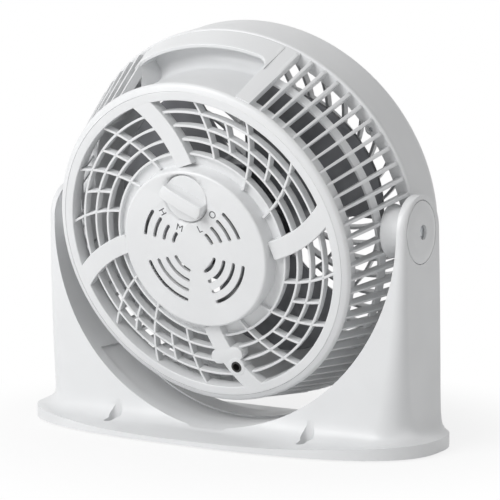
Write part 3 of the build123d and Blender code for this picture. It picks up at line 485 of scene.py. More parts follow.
def make_finishes(colours):
    """All the materials of the fan."""
    # ABS, moulded in a tool with a fine spark-eroded texture: a satin sheen that wanders a little
    # where the melt met the tool. Its grain is 0.15 mm, drawn at 0.9 mm so that it shows.
    tree, shader, place = surface("abs_moulded_satin", colours.gloss, ior=1.53)
    grain(tree, shader, place, 0.9 * MM, 0.012 * MM)
    two_tone(tree, shader, drift(tree, place, 38 * MM, 0.0, 1.0), shade(colours.housing, 0.985),
             shade(colours.housing, 1.008))
    tree.links.new(drift(tree, place, 22 * MM, colours.gloss - 0.05, colours.gloss + 0.06),
                   shader.inputs["Roughness"])

    # ABS, moulded in a polished tool: a clear highlight, with the faint orange peel of the melt
    tree, shader, place = surface("abs_moulded_polished", 0.16, ior=1.53)
    grain(tree, shader, place, 3.2 * MM, 0.006 * MM, detail=1.0)
    two_tone(tree, shader, drift(tree, place, 14 * MM, 0.0, 1.0), shade(colours.dial, 0.985),
             colours.dial)
    tree.links.new(drift(tree, place, 6 * MM, 0.13, 0.21), shader.inputs["Roughness"])

    # polypropylene coloured charcoal in the melt: waxy, with flow lines in its sheen
    tree, shader, place = surface("polypropylene_moulded_charcoal", 0.4, ior=1.49)
    grain(tree, shader, place, 1.4 * MM, 0.02 * MM)
    two_tone(tree, shader, drift(tree, place, 24 * MM, 0.0, 1.0), shade(colours.impeller, 0.86),
             shade(colours.impeller, 1.1))
    tree.links.new(drift(tree, place, 11 * MM, 0.32, 0.5), shader.inputs["Roughness"])

    # rubber from a matt mould: dull, dusty and slightly pitted
    tree, shader, place = surface("rubber_moulded_matt", 0.85, ior=1.52)
    grain(tree, shader, place, 0.8 * MM, 0.05 * MM)
    two_tone(tree, shader, drift(tree, place, 4 * MM, 0.0, 1.0), "29292A", "3A3A3B")

    # steel with a bright zinc plating: a cool, slightly mottled metal
    tree, shader, place = surface("steel_zinc_plated", 0.3, metallic=1.0)
    grain(tree, shader, place, 0.7 * MM, 0.008 * MM)
    two_tone(tree, shader, drift(tree, place, 2.5 * MM, 0.0, 1.0), "AEB2B6", "C9CBCC")
    tree.links.new(drift(tree, place, 1.8 * MM, 0.24, 0.42), shader.inputs["Roughness"])

    # steel ground to size: bright, with grinding lines round the shaft drawn at 0.5 mm
    tree, shader, place = surface("steel_ground", 0.22, metallic=1.0)
    ridges(tree, shader, place, 0.5 * MM, 0.004 * MM, "B9BBBD", "CDCFD0",
           {"Distortion": 0.6, "Detail": 2.0}, bands_direction="Y")

    # electrical steel, stamped and stacked: sheets of 0.5 mm, blued, drawn at 1 mm so that they show
    tree, shader, place = surface("electrical_steel_stacked", 0.5, metallic=0.85)
    ridges(tree, shader, place, 1.0 * MM, 0.15 * MM, "4E535B", "7F8388", bands_direction="Y")

    # copper wire of 0.4 mm under clear enamel, drawn at 0.9 mm so that the turns show
    tree, shader, place = surface("copper_wire_enamelled", 0.28, metallic=0.6)
    ridges(tree, shader, place, 0.9 * MM, 0.2 * MM, "6E2E12", "C27038",
           {"Distortion": 1.4}, wave_type="RINGS", rings_direction="Y")

    # aluminium, die-cast and left as it comes: grey, dull and faintly pitted
    tree, shader, place = surface("aluminium_die_cast", 0.5, metallic=1.0)
    grain(tree, shader, place, 1.1 * MM, 0.05 * MM)
    two_tone(tree, shader, drift(tree, place, 6 * MM, 0.0, 1.0), "A4A7AA", "BFC1C3")

    # bronze, sintered: open pores of 0.2 mm, drawn at 0.6 mm
    tree, shader, place = surface("bronze_sintered", 0.42, metallic=1.0)
    grain(tree, shader, place, 0.6 * MM, 0.06 * MM)
    two_tone(tree, shader, drift(tree, place, 1.2 * MM, 0.0, 1.0), "9A7440", "BE9458")

    # phenolic resin, moulded: hard, black, with a low sheen
    tree, shader, place = surface("phenolic_moulded_black", 0.42, ior=1.6)
    grain(tree, shader, place, 0.8 * MM, 0.02 * MM)
    two_tone(tree, shader, drift(tree, place, 5 * MM, 0.0, 1.0), "222120", "302E2C")

    # ink, pad-printed on the cover: thin and dull, not quite even
    tree, shader, place = surface("ink_pad_printed", 0.6, ior=1.48)
    grain(tree, shader, place, 0.5 * MM, 0.004 * MM)
    two_tone(tree, shader, drift(tree, place, 1.0 * MM, 0.0, 1.0), shade(colours.marks, 0.9),
             shade(colours.marks, 1.15))


class FAN_OT_finishes(bpy.types.Operator):
    """Make the materials and give every node of the frame its own"""
    bl_idname = "fan.finishes"
    bl_label = "Finishes"

    def execute(self, context):
        make_finishes(context.scene.fan_finish)
        for node, obj in frame["nodes"].items():
            obj.data.materials.clear()
            obj.data.materials.append(bpy.data.materials[MATERIAL_OF[SLOT_OF[node]]])
        return {"FINISHED"}


# ------------------------------------------------------------------ studio
WHITE = (1.0, 1.0, 1.0, 1.0)
# the camera looks at a point this far to the right of the fan axis and this high over the table
TARGET_RIGHT = 9.56
TARGET_HIGH = 111.83
# the floor goes from lit paper to plain white between these distances from its middle, in metres
PAPER_REACH = 0.10
WHITE_REACH = 0.24


def white_for_lens(tree, surface_socket, white):
    """White for the camera and for what glossy and clear surfaces show, the surface for the rest."""
    path = add(tree, "ShaderNodeLightPath")
    seen = add(tree, "ShaderNodeMath",
               {0: path.outputs["Is Camera Ray"], 1: path.outputs["Is Glossy Ray"]}, operation="MAXIMUM")
    seen = add(tree, "ShaderNodeMath", {0: seen.outputs[0], 1: path.outputs["Is Transmission Ray"]},
               operation="MAXIMUM")
    return add(tree, "ShaderNodeMixShader", {0: seen.outputs[0], 1: surface_socket, 2: white}).outputs[0]


class FAN_OT_studio(bpy.types.Operator):
    """Set up the camera, the floor, the room and the lamps"""
    bl_idname = "fan.studio"
    bl_label = "Studio"

    def execute(self, context):
        studio = context.scene.fan_studio
        turn, rise = studio.turn, studio.rise
        right = Vector((-math.cos(turn), -math.sin(turn), 0.0))
        back = Vector((-math.sin(turn) * math.cos(rise), math.cos(turn) * math.cos(rise), math.sin(rise)))
        up = back.cross(right)
        target = right * TARGET_RIGHT * MM + Vector((0.0, PIVOT_DEEP, TARGET_HIGH)) * MM
        deselect()
        bpy.ops.object.camera_add()
        camera = context.object
        camera.name = "camera"
        camera.data.lens = studio.focal
        camera.data.sensor_width = 36.0
        camera.data.clip_start = 0.05
        camera.matrix_world = Matrix((
            (right.x, up.x, back.x, 0.0),
            (right.y, up.y, back.y, 0.0),
            (right.z, up.z, back.z, 0.0),
            (0.0, 0.0, 0.0, 1.0)))
        camera.location = target + back * studio.distance
        context.scene.camera = camera

        # a plain white floor: near the fan it takes the soft shadow, further out it is the backdrop
        deselect()
        bpy.ops.mesh.primitive_circle_add(vertices=96, radius=8.0, fill_type="NGON", location=(0, 0, 0))
        floor = context.object
        floor.name = "floor"
        material = bpy.data.materials.new("paper_white_floor")
        material.use_nodes = True
        tree = material.node_tree
        tree.nodes.clear()
        place = add(tree, "ShaderNodeTexCoord").outputs["Object"]
        reach = add(tree, "ShaderNodeVectorMath", {0: place}, operation="LENGTH").outputs["Value"]
        share = add(tree, "ShaderNodeMapRange",
                    {"Value": reach, "From Min": PAPER_REACH, "From Max": WHITE_REACH,
                     "To Min": 0.8, "To Max": 1.0},
                    interpolation_type="SMOOTHSTEP").outputs["Result"]
        paper = add(tree, "ShaderNodeBsdfDiffuse", {"Color": linear("F4F4F4")}).outputs[0]
        white = add(tree, "ShaderNodeEmission", {"Color": WHITE, "Strength": 1.0}).outputs[0]
        lit = add(tree, "ShaderNodeMixShader", {0: share, 1: paper, 2: white}).outputs[0]
        add(tree, "ShaderNodeOutputMaterial", {"Surface": white_for_lens(tree, paper, lit)})
        floor.data.materials.append(material)

        world = context.scene.world or bpy.data.worlds.new("room")
        context.scene.world = world
        world.use_nodes = True
        tree = world.node_tree
        tree.nodes.clear()
        room = add(tree, "ShaderNodeBackground", {"Color": WHITE, "Strength": studio.ambient})
        white = add(tree, "ShaderNodeBackground", {"Color": WHITE, "Strength": 1.0})
        add(tree, "ShaderNodeOutputWorld",
            {"Surface": white_for_lens(tree, room.outputs[0], white.outputs[0])})

        aim = Vector((0.0, 0.0, 0.12))
        lamps = (("key_lamp", -0.66 * right + 0.59 * back + 0.50 * up, 1.0, 0.7, studio.key),
                 ("fill_lamp", 0.9 * right + 0.5 * back + 0.25 * up, 1.1, 0.8, studio.fill))
        for name, direction, away, size, power in lamps:
            deselect()
            bpy.ops.object.light_add(type="AREA", location=aim + direction.normalized() * away)
            lamp = context.object
            lamp.name = name
            lamp.data.shape = "DISK"
            lamp.data.size = size
            lamp.data.energy = power
            lamp.rotation_euler = direction.to_track_quat("Z", "Y").to_euler()
        context.scene.view_settings.view_transform = "Standard"
        return {"FINISHED"}


# ------------------------------------------------------------------ pieces
# Levels of the stand above the lip of its base: half depth at the rear and at the front and their
# height, half width and its height, the rounding of the rear and of the front corners, and how
# far the level is drawn in to an oval.
STAND_LEVELS = (
    (52.0, 54.0, 5.3, 137.0, 9.8, 38.0, 34.0, 0.6),
    (43.0, 44.5, 5.3, 134.6, 10.8, 34.0, 30.0, 0.15),
    (37.6, 39.5, 5.4, 132.6, 12.0, 30.0, 22.0, 0.0),
    (33.8, 36.5, 6.0, 131.0, 13.4, 26.5, 17.0, 0.0),
    (30.6, 34.5, 7.5, 129.8, 15.0, 24.0, 12.5, 0.0),
    (28.2, 33.0, 10.0, 128.9, 17.0, 21.5, 9.0, 0.0),
    (26.6, 32.0, 13.2, 128.3, 19.5, 19.0, 7.0, 0.0),
    (25.6, 31.4, 17.5, 127.9, 22.8, 17.0, 5.6, 0.0),
    (25.0, 31.0, 24.0, 127.6, 27.5, 15.0, 4.8, 0.0),
    (24.6, 30.6, 34.0, 127.4, 35.5, 13.0, 4.4, 0.0),
    (24.1, 30.2, 47.0, 127.4, 47.5, 11.0, 4.2, 0.0),
    (23.5, 29.6, 63.0, 127.4, 63.0, 9.0, 4.2, 0.0),
    (22.9, 29.0, 78.0, 127.4, 78.0, 7.2, 4.2, 0.0),
    (22.4, 28.3, 94.0, 127.4, 94.0, 5.8, 4.2, 0.0),
    (22.0, 27.4, 111.0, 127.4, 111.0, 4.8, 4.2, 0.0))
ARM_HALF_WIDTH = 127.4
ARM_TOP_REAR = 21.6
ARM_TOP_FRONT = 26.4
ARM_CORNER = 4.2
BASE_CORNER = 42.0
OVAL_POWER = 2.6
# how much lower the top of the base is in the middle of its long sides than near its corners,
# and over how many levels that fades away
SAG = 2.6
SAG_LEVELS = 7.0


def half_loop(depth, width, corner):
    """Half a level of the stand, from the middle of its +X side to that of its -X side.

    Each point also has its share of the way from the side to the long edge.
    """
    quarter = [(width, (depth - corner) * k / 4, 0.0) for k in range(4)]
    for k in range(13):
        turn = math.pi / 2.0 * k / 12
        quarter.append((width - corner + corner * math.cos(turn),
                        depth - corner + corner * math.sin(turn), turn / (math.pi / 2.0)))
    quarter += [((width - corner) * (1.0 - k / 20), depth, 1.0) for k in range(1, 21)]
    return quarter + [(-x, y, share) for x, y, share in reversed(quarter[:-1])]


def stand_loop(rear, front, depth_high, width, width_high, rear_corner, front_corner, oval, sag):
    """One level of the stand, from the middle of its +X side round by the rear.

    The sag is how much lower it runs in the middle of its long sides.
    """
    ring = [(x, y, y / rear, share) for x, y, share in half_loop(rear, width, rear_corner)]
    fore = half_loop(front, width, front_corner)
    ring += [(x, -y, y / front, share) for x, y, share in reversed(fore[1:-1])]
    row = []
    for x, y, part, share in ring:
        share = share * share * (3.0 - 2.0 * share)
        dip = sag * (1.0 - (x / 100.0) ** 2) if abs(x) < 100.0 else 0.0
        if oval:
            draw = (abs(x / width) ** OVAL_POWER + part ** OVAL_POWER) ** (-1.0 / OVAL_POWER)
            x, y = x * (1.0 + oval * (draw - 1.0)), y * (1.0 + oval * (draw - 1.0))
        high = width_high + (depth_high + 0.5 * sag - dip - width_high) * share
        row.append((x, PIVOT_DEEP + y, high))
    return row + row[:1]


class FAN_OT_stand(bpy.types.Operator):
    """Build the U-shaped stand with its cover, feet, screws and pivot caps"""
    bl_idname = "fan.stand"
    bl_label = "Stand"

    def execute(self, context):
        stand = context.scene.fan_stand
        half_width, half_depth = stand.width / 2.0 / MM, stand.depth / 2.0 / MM
        cradle, rim = stand.cradle / MM, stand.rim / MM
        levels = [
            (half_depth, half_depth, 5.0, half_width, 8.6, BASE_CORNER, BASE_CORNER, 1.0),
            (half_depth - 1.2, half_depth - 1.2, 5.3, half_width - 0.9, 9.0,
             BASE_CORNER - 1.0, BASE_CORNER - 1.0, 1.0), *STAND_LEVELS]
        # round top of the arms about the pivot
        for k in range(17):
            turn = math.pi / 2.0 * k / 16
            high = PIVOT_HIGH + ARM_TOP_REAR * math.sin(turn)
            corner = ARM_CORNER * math.cos(turn)
            levels.append((ARM_TOP_REAR * math.cos(turn), ARM_TOP_FRONT * math.cos(turn), high,
                           ARM_HALF_WIDTH, high, corner, corner, 0.0))
        bottom = [(x, y, 1.0) for x, y, z in stand_loop(
            half_depth, half_depth, 1.0, half_width, 1.0, BASE_CORNER, BASE_CORNER, 1.0, 0.0)]
        shell = through("stand", capped([bottom] + [
            stand_loop(*level, SAG * max(0.0, 1.0 - k / SAG_LEVELS)) for k, level in enumerate(levels)]))

        outline = [(x, PIVOT_HIGH + z) for x, z in circle(cradle, 180, 361, 3)]
        outline += [(cradle, 170.0), (-cradle, 170.0)]
        take_away(shell, through("cradle_space", capped(
            [[(x, y, z) for x, z in outline + outline[:1]] for y in (-90.0, 100.0)])))
        # round over the edges that the cradle left
        edit(shell, "EDGE")
        bpy.ops.mesh.select_all(action="DESELECT")
        bpy.ops.mesh.edges_select_sharp(sharpness=math.radians(38.0))
        bpy.ops.object.mode_set(mode="OBJECT")
        for line in shell.data.edges:
            ends = [shell.data.vertices[i].co / MM for i in line.vertices]
            offsets = [abs(math.hypot(end.x, min(end.z - PIVOT_HIGH, 0.0)) - cradle) for end in ends]
            line.select = line.select and max(offsets) < 0.1
        bpy.ops.object.mode_set(mode="EDIT")
        bpy.ops.mesh.bevel(offset=rim * MM, segments=4, affect="EDGES", clamp_overlap=True)
        bpy.ops.object.mode_set(mode="OBJECT")

        # shallow panel in the bottom of the cradle
        shallow, deep, half = cradle - 5.0, cradle + stand.recess / MM, 15.5
        section = band(shallow, deep, -half, half)
        take_away(shell, through("cradle_panel", capped([
            [(r * math.sin(math.radians(a)), PIVOT_DEEP + y, PIVOT_HIGH - r * math.cos(math.radians(a)))
             for r, y in section + section[:1]] for a in range(-48, 49, 3)])))

        # the cover and its seat
        take_away(shell, through("cover_seat", capped([
            [(0.974 * x, PIVOT_DEEP + 0.944 * (y - PIVOT_DEEP), z) for x, y, _ in bottom]
            for z in (-1.0, 3.0)])))
        cover = through("cover", capped([
            [(0.972 * x, PIVOT_DEEP + 0.94 * (y - PIVOT_DEEP), z) for x, y, _ in bottom]
            for z in (1.0, 3.0)]))

        # keyholes through both, and in each arm the seats of the bearing, the washer and the cap
        key = circle(4.25, 123, 418, 15) + [(x, 9.0 + y) for x, y in circle(2.3, 0, 181, 20)]
        seats = [(0.0, 118.0), (13.4, 118.0), (13.4, 122.0), (6.55, 122.0), (6.55, 124.4), (12.0, 124.4),
                 (12.0, 125.6), (18.8, 125.6), (18.8, 132.0), (0.0, 132.0), (0.0, 118.0)]
        for side in (1, -1):
            for piece in (shell, cover):
                take_away(piece, through("keyhole", capped([
                    [(side * 69.0 + x, PIVOT_DEEP + 30.0 + y, z) for x, y in key + key[:1]]
                    for z in (-2.0, 24.0)])))
            take_away(shell, through("pivot_seat", [
                [(side * x, PIVOT_DEEP + r * math.cos(math.radians(a)),
                  PIVOT_HIGH + r * math.sin(math.radians(a))) for r, x in seats]
                for a in range(0, 361, 6)]))
        edit(shell)
        bpy.ops.mesh.normals_make_consistent(inside=False)
        bpy.ops.object.mode_set(mode="OBJECT")
        smooth(shell, 30.0)
        use_modifier(shell, "WEIGHTED_NORMAL", keep_sharp=True, weight=60)
        dress(shell, "housing_abs", "stand", "stand_shell")
        smooth(cover, 30.0)
        dress(cover, "housing_abs", "stand", "base_cover")
        for node in ("cover_screws", "rubber_feet", "pivot_caps"):
            from_frame(node)
        return {"FINISHED"}


def cage_radius(z):
    """Outer radius of the cage of side ribs at a place along the fan axis."""
    return 101.0 + 17.5 * (39.8 - z) / 50.3


class FAN_OT_drum(bpy.types.Operator):
    """Build the drum: shoulder, flange, hoop, side ribs and pivot bosses"""
    bl_idname = "fan.drum"
    bl_label = "Drum"

    def execute(self, context):
        drum = context.scene.fan_drum
        edge = drum.edge / MM
        pitch = 360.0 / drum.rib_count

        # shoulder that the rear grille sits in, flange that meets the bezel, and the hoop inside
        shoulder = turned("drum_rings", rounded(
            [(101.3, 39.0, 1.6), (99.7, 41.5, 1.0), (96.36, 42.7, 0.1), (96.36, 33.6), (93.5, 33.6),
             (93.5, 29.5), (98.6, 29.5), (98.6, 37.0)], edge), steps=144)
        flange = turned("flange", rounded(
            [(110.5, -10.5), (118.7, -10.5, 0.9), (119.5, -11.6, 0.5), (119.5, -13.85), (116.95, -13.85),
             (116.3, -20.2), (114.5, -20.2), (114.5, -13.1), (110.5, -13.1)], edge), steps=144)
        hoop = turned("hoop", rounded([(107.9, 9.0), (106.2, 14.0), (104.4, 14.0), (106.1, 9.0)], edge),
                      start=115.5, arc=309.0, steps=120)
        for angle in SCREW_ANGLES:
            take_away(flange, bore(2.2, -25.0, -5.0, 24, polar(SCREW_CIRCLE, angle)))
        rings = join("drum_rings", shoulder, flange, hoop)
        finish_head(rings, "housing_abs", "head", "rear_housing")

        # side ribs, thicker towards the flange and with a rounded tip on its edge
        tip = cage_radius(-9.6) + 0.35
        outline = rounded([(100.2, 40.2, 1.2), (97.5, 40.2), (97.5, 33.0, 2.0), (tip - 6.0, -9.0, 1.0),
                           (tip - 5.4, -11.2, 0.8), (tip - 0.5, -11.2, 1.6), (tip, -8.0, 1.0)], 0.8)
        first = round(HANDLE_HALF / pitch)
        angles = [90.0 + pitch * k for k in range(first, drum.rib_count - first + 1)]
        over_boss = [a for a in angles if abs((a + 90.0) % 180.0 - 90.0) < 6.2]
        rib = slab("side_ribs", outline, drum.rib_thickness / MM, edge, 0.0, taper=0.0085)
        ribs = [copy_turned(rib, angle) for angle in angles if angle not in over_boss]
        short_outline = rounded([(100.2, 40.2, 1.2), (97.5, 40.2), (97.5, 33.0, 2.0), (103.6, 10.0),
                                 (110.6, 10.0)], 0.8)
        short = slab("short_ribs", short_outline, drum.rib_thickness / MM, edge, 0.0, taper=0.0085)
        ribs += [copy_turned(short, angle) for angle in over_boss]
        for model in (rib, short):
            bpy.data.objects.remove(model)
        finish_head(join("side_ribs", *ribs), "housing_abs", "head")

        # bosses on the tilt axis, each a soft cone with the bearing spigot at its end
        bosses = []
        for side in (1.0, -1.0):
            place = Matrix.Rotation(side * math.pi / 2.0, 4, "Y")
            bosses.append(turned("pivot_bosses", rounded(
                [(0.0, 108.0), (16.6, 108.0, 2.0), (13.8, 115.5, 3.0), (12.5, 121.7, 0.8), (6.5, 121.7),
                 (6.5, 124.6), (0.0, 124.6)], edge), steps=48, place=place))
        finish_head(join("pivot_bosses", *bosses), "housing_abs", "head")

        # bosses that take the bezel screws
        screws = [turned("screw_bosses", rounded(band(1.4, 3.6, -20.2, -11.2), 0.3), steps=24,
                         place=Matrix.Translation(polar(SCREW_CIRCLE, angle))) for angle in SCREW_ANGLES]
        finish_head(join("screw_bosses", *screws), "housing_abs", "head")
        for node in ("pivot_washers", "pivot_screws", "cord_gland"):
            from_frame(node)
        return {"FINISHED"}


class FAN_OT_handle(bpy.types.Operator):
    """Build the carrying handle: scoop, grip and end walls"""
    bl_idname = "fan.handle"
    bl_label = "Carrying handle"

    def execute(self, context):
        corner = context.scene.fan_drum.corner / MM
        half, bend, thick = HANDLE_HALF, 8.0, 2.2
        # floor and front wall of the scoop, one plate that bends up
        inner = [(98.0 + bend - r, bend - 7.0 - z) for r, z in circle(bend, 0, 91, 15)]
        outer = [(98.0 + bend - r, bend - 7.0 - z) for r, z in circle(bend + thick, 90, -1, -15)]
        outline = [(98.0, 31.0), *inner, (115.4, -7.0), (115.4, -9.2), *outer, (95.8, 31.0)]
        scoop = turned("handle_scoop", outline + outline[:1], start=90.0 - half - 0.6,
                       arc=2.0 * half + 1.2, steps=60)

        # grip: its rear edge rolls over and sweeps back into both end walls
        rows = []
        steps = 84
        for k in range(steps + 1):
            offset = -half - 0.4 + (2.0 * half + 0.8) * k / steps
            reach = math.radians(half - abs(offset)) * 115.0
            lip = 5.0
            if reach < corner:
                lip += corner - math.sqrt(max(0.0, corner ** 2 - (corner - max(reach, 0.0)) ** 2))
            radius = cage_radius(lip) + 1.0
            section = rounded([(cage_radius(-10.5) - 0.2, -11.8), (cage_radius(-10.5) + 0.1, -9.8),
                               (radius + 0.5, lip - 1.0, 0.5), (radius + 0.1, lip, 0.4),
                               (radius - 1.9, lip, 0.3), (min(radius - 2.0, 115.2), -7.0, 1.0),
                               (111.7, -7.6), (111.7, -11.8)], 0.5, steps=4)
            rows.append([tuple(polar(r, 90.0 + offset, z)) for r, z in section])
        grip = through("handle_grip", capped(rows))

        # end walls, whose rear edges slope down to the floor of the scoop
        wall = rounded([(95.6, 15.5), (97.6, 17.0), (cage_radius(13.0) + 0.3, 8.5), (118.4, -11.0),
                        (106.0, -11.5), (95.6, 0.0, 9.0)], 0.8, steps=5)
        walls = [slab("handle_wall", wall, thick, 0.5, 90.0 + side * half) for side in (1, -1)]
        # cheek between the opening and the rib beyond it, at the right
        near, far = 90.0 - half, 61.0
        rows = []
        for k in range(13):
            z = -10.5 + 50.0 * k / 12
            radius = cage_radius(z) + 0.25
            face = [(near + (far - near) * n / 4, radius) for n in range(5)]
            section = [(near, radius - thick), *face, (far, radius - thick), (near, radius - thick)]
            rows.append([tuple(polar(r, a, z)) for a, r in section])
        walls.append(through("handle_cheek", capped(rows)))
        finish_head(join("handle", scoop, grip, *walls), "housing_abs", "head")
        return {"FINISHED"}


class FAN_OT_grille(bpy.types.Operator):
    """Build the swept rear grille: rim, arms, thin ribs and rings, hub plate"""
    bl_idname = "fan.grille"
    bl_label = "Rear grille"

    def execute(self, context):
        drum = context.scene.fan_drum
        edge = drum.edge / MM
        wire = drum.wire / MM
        arm = drum.arm / MM

        def swept(phase, start, end, steps=14):
            """Points along a rib whose sweep grows with its radius."""
            points = []
            for k in range(steps + 1):
                radius = start + (end - start) * k / steps
                run = radius - 50.0
                points.append(polar(radius, phase + 0.30 * run + 0.0016 * run * run))
            return points

        rim = turned("rear_rim", rounded([(RIM_RADIUS, 33.7), (RIM_RADIUS, 42.8, 0.7), (90.8, 42.8, 0.8),
                                          (90.8, 33.7)], edge), steps=144)
        plate = turned("hub_plate", rounded(
            [(57.9, 35.5), (57.9, 37.5), (33.0, 37.5), (33.0, 35.5)], edge), steps=96)
        low, high = 35.0, 40.4
        rings = [turned("ring", rounded(band(r - wire / 2, r + wire / 2, low, high), edge), steps=144)
                 for r in (57.8, 66.4, 74.8, 83.3)]
        quarter = [bar("rib", swept(angle, start, end), wire, low, high, edge)
                   for angle, start, end in ((22.5, 51.1, 91.4), (33.75, 66.4, 83.3), (45.0, 51.1, 91.4),
                                             (56.25, 66.4, 83.3), (67.5, 57.8, 91.4))]
        arm_bar = bar("arm", swept(0.0, 50.9, 96.6, steps=20), arm, 35.3, 42.7, 0.8, limit=92.2)
        copies = [copy_turned(piece, 90.0 * k) for piece in quarter + [arm_bar] for k in (1, 2, 3)]
        # pad beside the cord hole on the lower arm
        turn = Matrix.Translation((8.0, -69.6, 0.0)) @ Matrix.Rotation(math.radians(13.0), 4, "Z")
        run, half = 6.8, 4.7
        ends = [math.radians(a) for a in range(-90, 91, 15)]
        stadium = [(run, math.cos(a), math.sin(a)) for a in ends]
        stadium += [(-run, -math.cos(a), -math.sin(a)) for a in ends]
        pad = through("cord_pad", capped([
            [tuple(turn @ Vector((x + (half - inset) * u, (half - inset) * v, z)))
             for x, u, v in stadium + stadium[:1]]
            for inset, z in ((0.8, 42.75), (0.25, 42.5), (0.0, 42.0), (0.0, 35.3))]))
        collar = turned("cord_collar", rounded(
            [(3.4, 35.3), (5.8, 35.3), (5.8, 42.95, 0.7), (3.4, 42.95)], 0.3), steps=48,
            place=Matrix.Translation(CORD_HOLE))
        for piece in (copies[-1], rings[2]):
            take_away(piece, bore(3.4, 30.0, 50.0, 48, CORD_HOLE))
        posts = [turned("motor_post", rounded(band(1.5, 3.6, 20.6, 35.6), 0.2), steps=24,
                        place=Matrix.Translation(polar(40.0, angle)))
                 for angle in (45.0, 135.0, 225.0, 315.0)]
        whole = join("swept_grille", rim, plate, *rings, *quarter, arm_bar, *copies, pad, collar, *posts)
        finish_head(whole, "housing_abs", "head", "rear_grille")
        return {"FINISHED"}


class FAN_OT_hub(bpy.types.Operator):
    """Build the hub cover, the switch and the marks round the dial"""
    bl_idname = "fan.hub"
    bl_label = "Hub cover and marks"

    def execute(self, context):
        from_frame("hub_cover")
        from_frame("speed_switch")
        for letter, angle in (("O", 332.5), ("L", 290.0), ("M", 248.0), ("H", 206.0)):
            deselect()
            bpy.ops.object.text_add()
            mark = context.object
            mark.name = "mark_" + letter
            mark.data.body = letter
            mark.data.size = 6.2 * MM
            mark.data.align_x = "CENTER"
            mark.data.align_y = "CENTER"
            mark.data.extrude = 0.03 * MM
            pick(mark)
            bpy.ops.object.convert(target="MESH")
            mark = context.object
            place = Vector((0.0, DIAL_OFFSET, 0.0)) + polar(MARK_CIRCLE, angle, HUB_FACE)
            turn = Matrix.Rotation(math.radians(angle + 90.0), 4, "Z")
            mark.matrix_world = Matrix.Translation(place * MM) @ turn
            seat(mark)
            mark.data.materials.clear()
            mark.data.materials.append(bpy.data.materials["ink_pad_printed"])
            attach(mark, "head")
        return {"FINISHED"}


class FAN_OT_knob(bpy.types.Operator):
    """Build the speed dial"""
    bl_idname = "fan.knob"
    bl_label = "Speed dial"

    def execute(self, context):
        dial = context.scene.fan_dial
        radius, height, width = dial.radius / MM, dial.height / MM, dial.width / MM
        face = 46.8
        disc = turned("speed_dial", rounded(
            [(0.0, 35.0), (3.0, 35.0), (3.0, 44.3), (radius, 44.3), (radius, face, 0.9), (0.0, face)],
            0.2), steps=96)
        # finger grip: hollow cheeks, a soft crown, and ends that follow the disc
        rows = []
        steps = 60
        reach = radius - 0.25
        for k in range(steps + 1):
            along = -reach * math.cos(math.pi * k / steps)
            half = min(width / 2.0, math.sqrt(max(0.0, reach ** 2 - along ** 2)))
            top = face + height - 0.9 * (along / reach) ** 4
            waist = half - 0.9 * min(1.0, half / 3.0)
            section = rounded([(-half, 46.0), (-waist, 49.6, 2.6), (-half + 0.35, top, 0.7),
                               (0.0, top + 0.35, 4.0), (half - 0.35, top, 0.7), (waist, 49.6, 2.6),
                               (half, 46.0)], 0.05, steps=5)
            rows.append([(along, u, z) for u, z in section])
        grip = through("dial_grip", capped(rows))
        knob = join("speed_dial", disc, grip)
        place = Matrix.Translation(Vector((0.0, DIAL_OFFSET, 0.0)) * MM)
        knob.data.transform(place @ Matrix.Rotation(math.radians(DIAL_TURN), 4, "Z"))
        finish_head(knob, "dial_abs", "knob", "speed_knob", angle=40.0)
        return {"FINISHED"}


class FAN_OT_motor(bpy.types.Operator):
    """Build the motor, its shaft and its screws"""
    bl_idname = "fan.motor"
    bl_label = "Motor"

    def execute(self, context):
        for node in ("motor_stator", "motor_windings", "motor_rear_bracket", "motor_front_bracket",
                     "motor_bushes", "motor_screws", "motor_rotor", "motor_shaft"):
            from_frame(node)
        return {"FINISHED"}


class FAN_OT_impeller(bpy.types.Operator):
    """Build the impeller and its nut"""
    bl_idname = "fan.impeller"
    bl_label = "Impeller"

    def execute(self, context):
        for node in ("impeller", "impeller_nut"):
            from_frame(node)
        return {"FINISHED"}


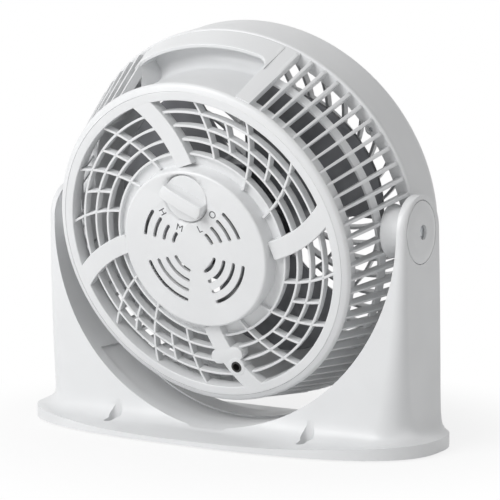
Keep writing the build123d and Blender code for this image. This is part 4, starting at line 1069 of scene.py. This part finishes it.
class FAN_OT_front(bpy.types.Operator):
    """Build the front half of the drum with its grille"""
    bl_idname = "fan.front"
    bl_label = "Front"

    def execute(self, context):
        for node in ("front_bezel", "bezel_screws", "front_grille", "centre_cap"):
            from_frame(node)
        return {"FINISHED"}


OPERATORS = (FAN_OT_finishes, FAN_OT_studio, FAN_OT_stand, FAN_OT_drum, FAN_OT_handle, FAN_OT_grille,
             FAN_OT_hub, FAN_OT_knob, FAN_OT_motor, FAN_OT_impeller, FAN_OT_front)
GROUPS = {"fan_finish": FinishSettings, "fan_stand": StandSettings, "fan_drum": DrumSettings,
          "fan_dial": DialSettings, "fan_studio": StudioSettings}


class FAN_PT_panel(bpy.types.Panel):
    """The fan's sizes, colours and pieces"""
    bl_idname = "FAN_PT_panel"
    bl_label = "Air circulator"
    bl_space_type = "VIEW_3D"
    bl_region_type = "UI"
    bl_category = "Air circulator"

    def draw(self, context):
        for group in GROUPS:
            settings = getattr(context.scene, group)
            for name in settings.__annotations__:
                self.layout.prop(settings, name)
        for operator in OPERATORS:
            self.layout.operator(operator.bl_idname)


def register():
    """Add the settings, the operators and the panel."""
    for group in GROUPS.values():
        bpy.utils.register_class(group)
    for operator in OPERATORS:
        bpy.utils.register_class(operator)
    bpy.utils.register_class(FAN_PT_panel)
    for name, group in GROUPS.items():
        setattr(bpy.types.Scene, name, bpy.props.PointerProperty(type=group))


def unregister():
    """Take them away again."""
    for name in GROUPS:
        delattr(bpy.types.Scene, name)
    bpy.utils.unregister_class(FAN_PT_panel)
    for operator in reversed(OPERATORS):
        bpy.utils.unregister_class(operator)
    for group in GROUPS.values():
        bpy.utils.unregister_class(group)


def main():
    """Build the fan piece by piece."""
    register()
    bpy.ops.fan.finishes()
    bpy.ops.fan.studio()
    bpy.ops.fan.stand()
    bpy.ops.fan.drum()
    bpy.ops.fan.handle()
    bpy.ops.fan.grille()
    bpy.ops.fan.hub()
    bpy.ops.fan.knob()
    bpy.ops.fan.motor()
    bpy.ops.fan.impeller()
    bpy.ops.fan.front()


if __name__ == "__main__":
    main()
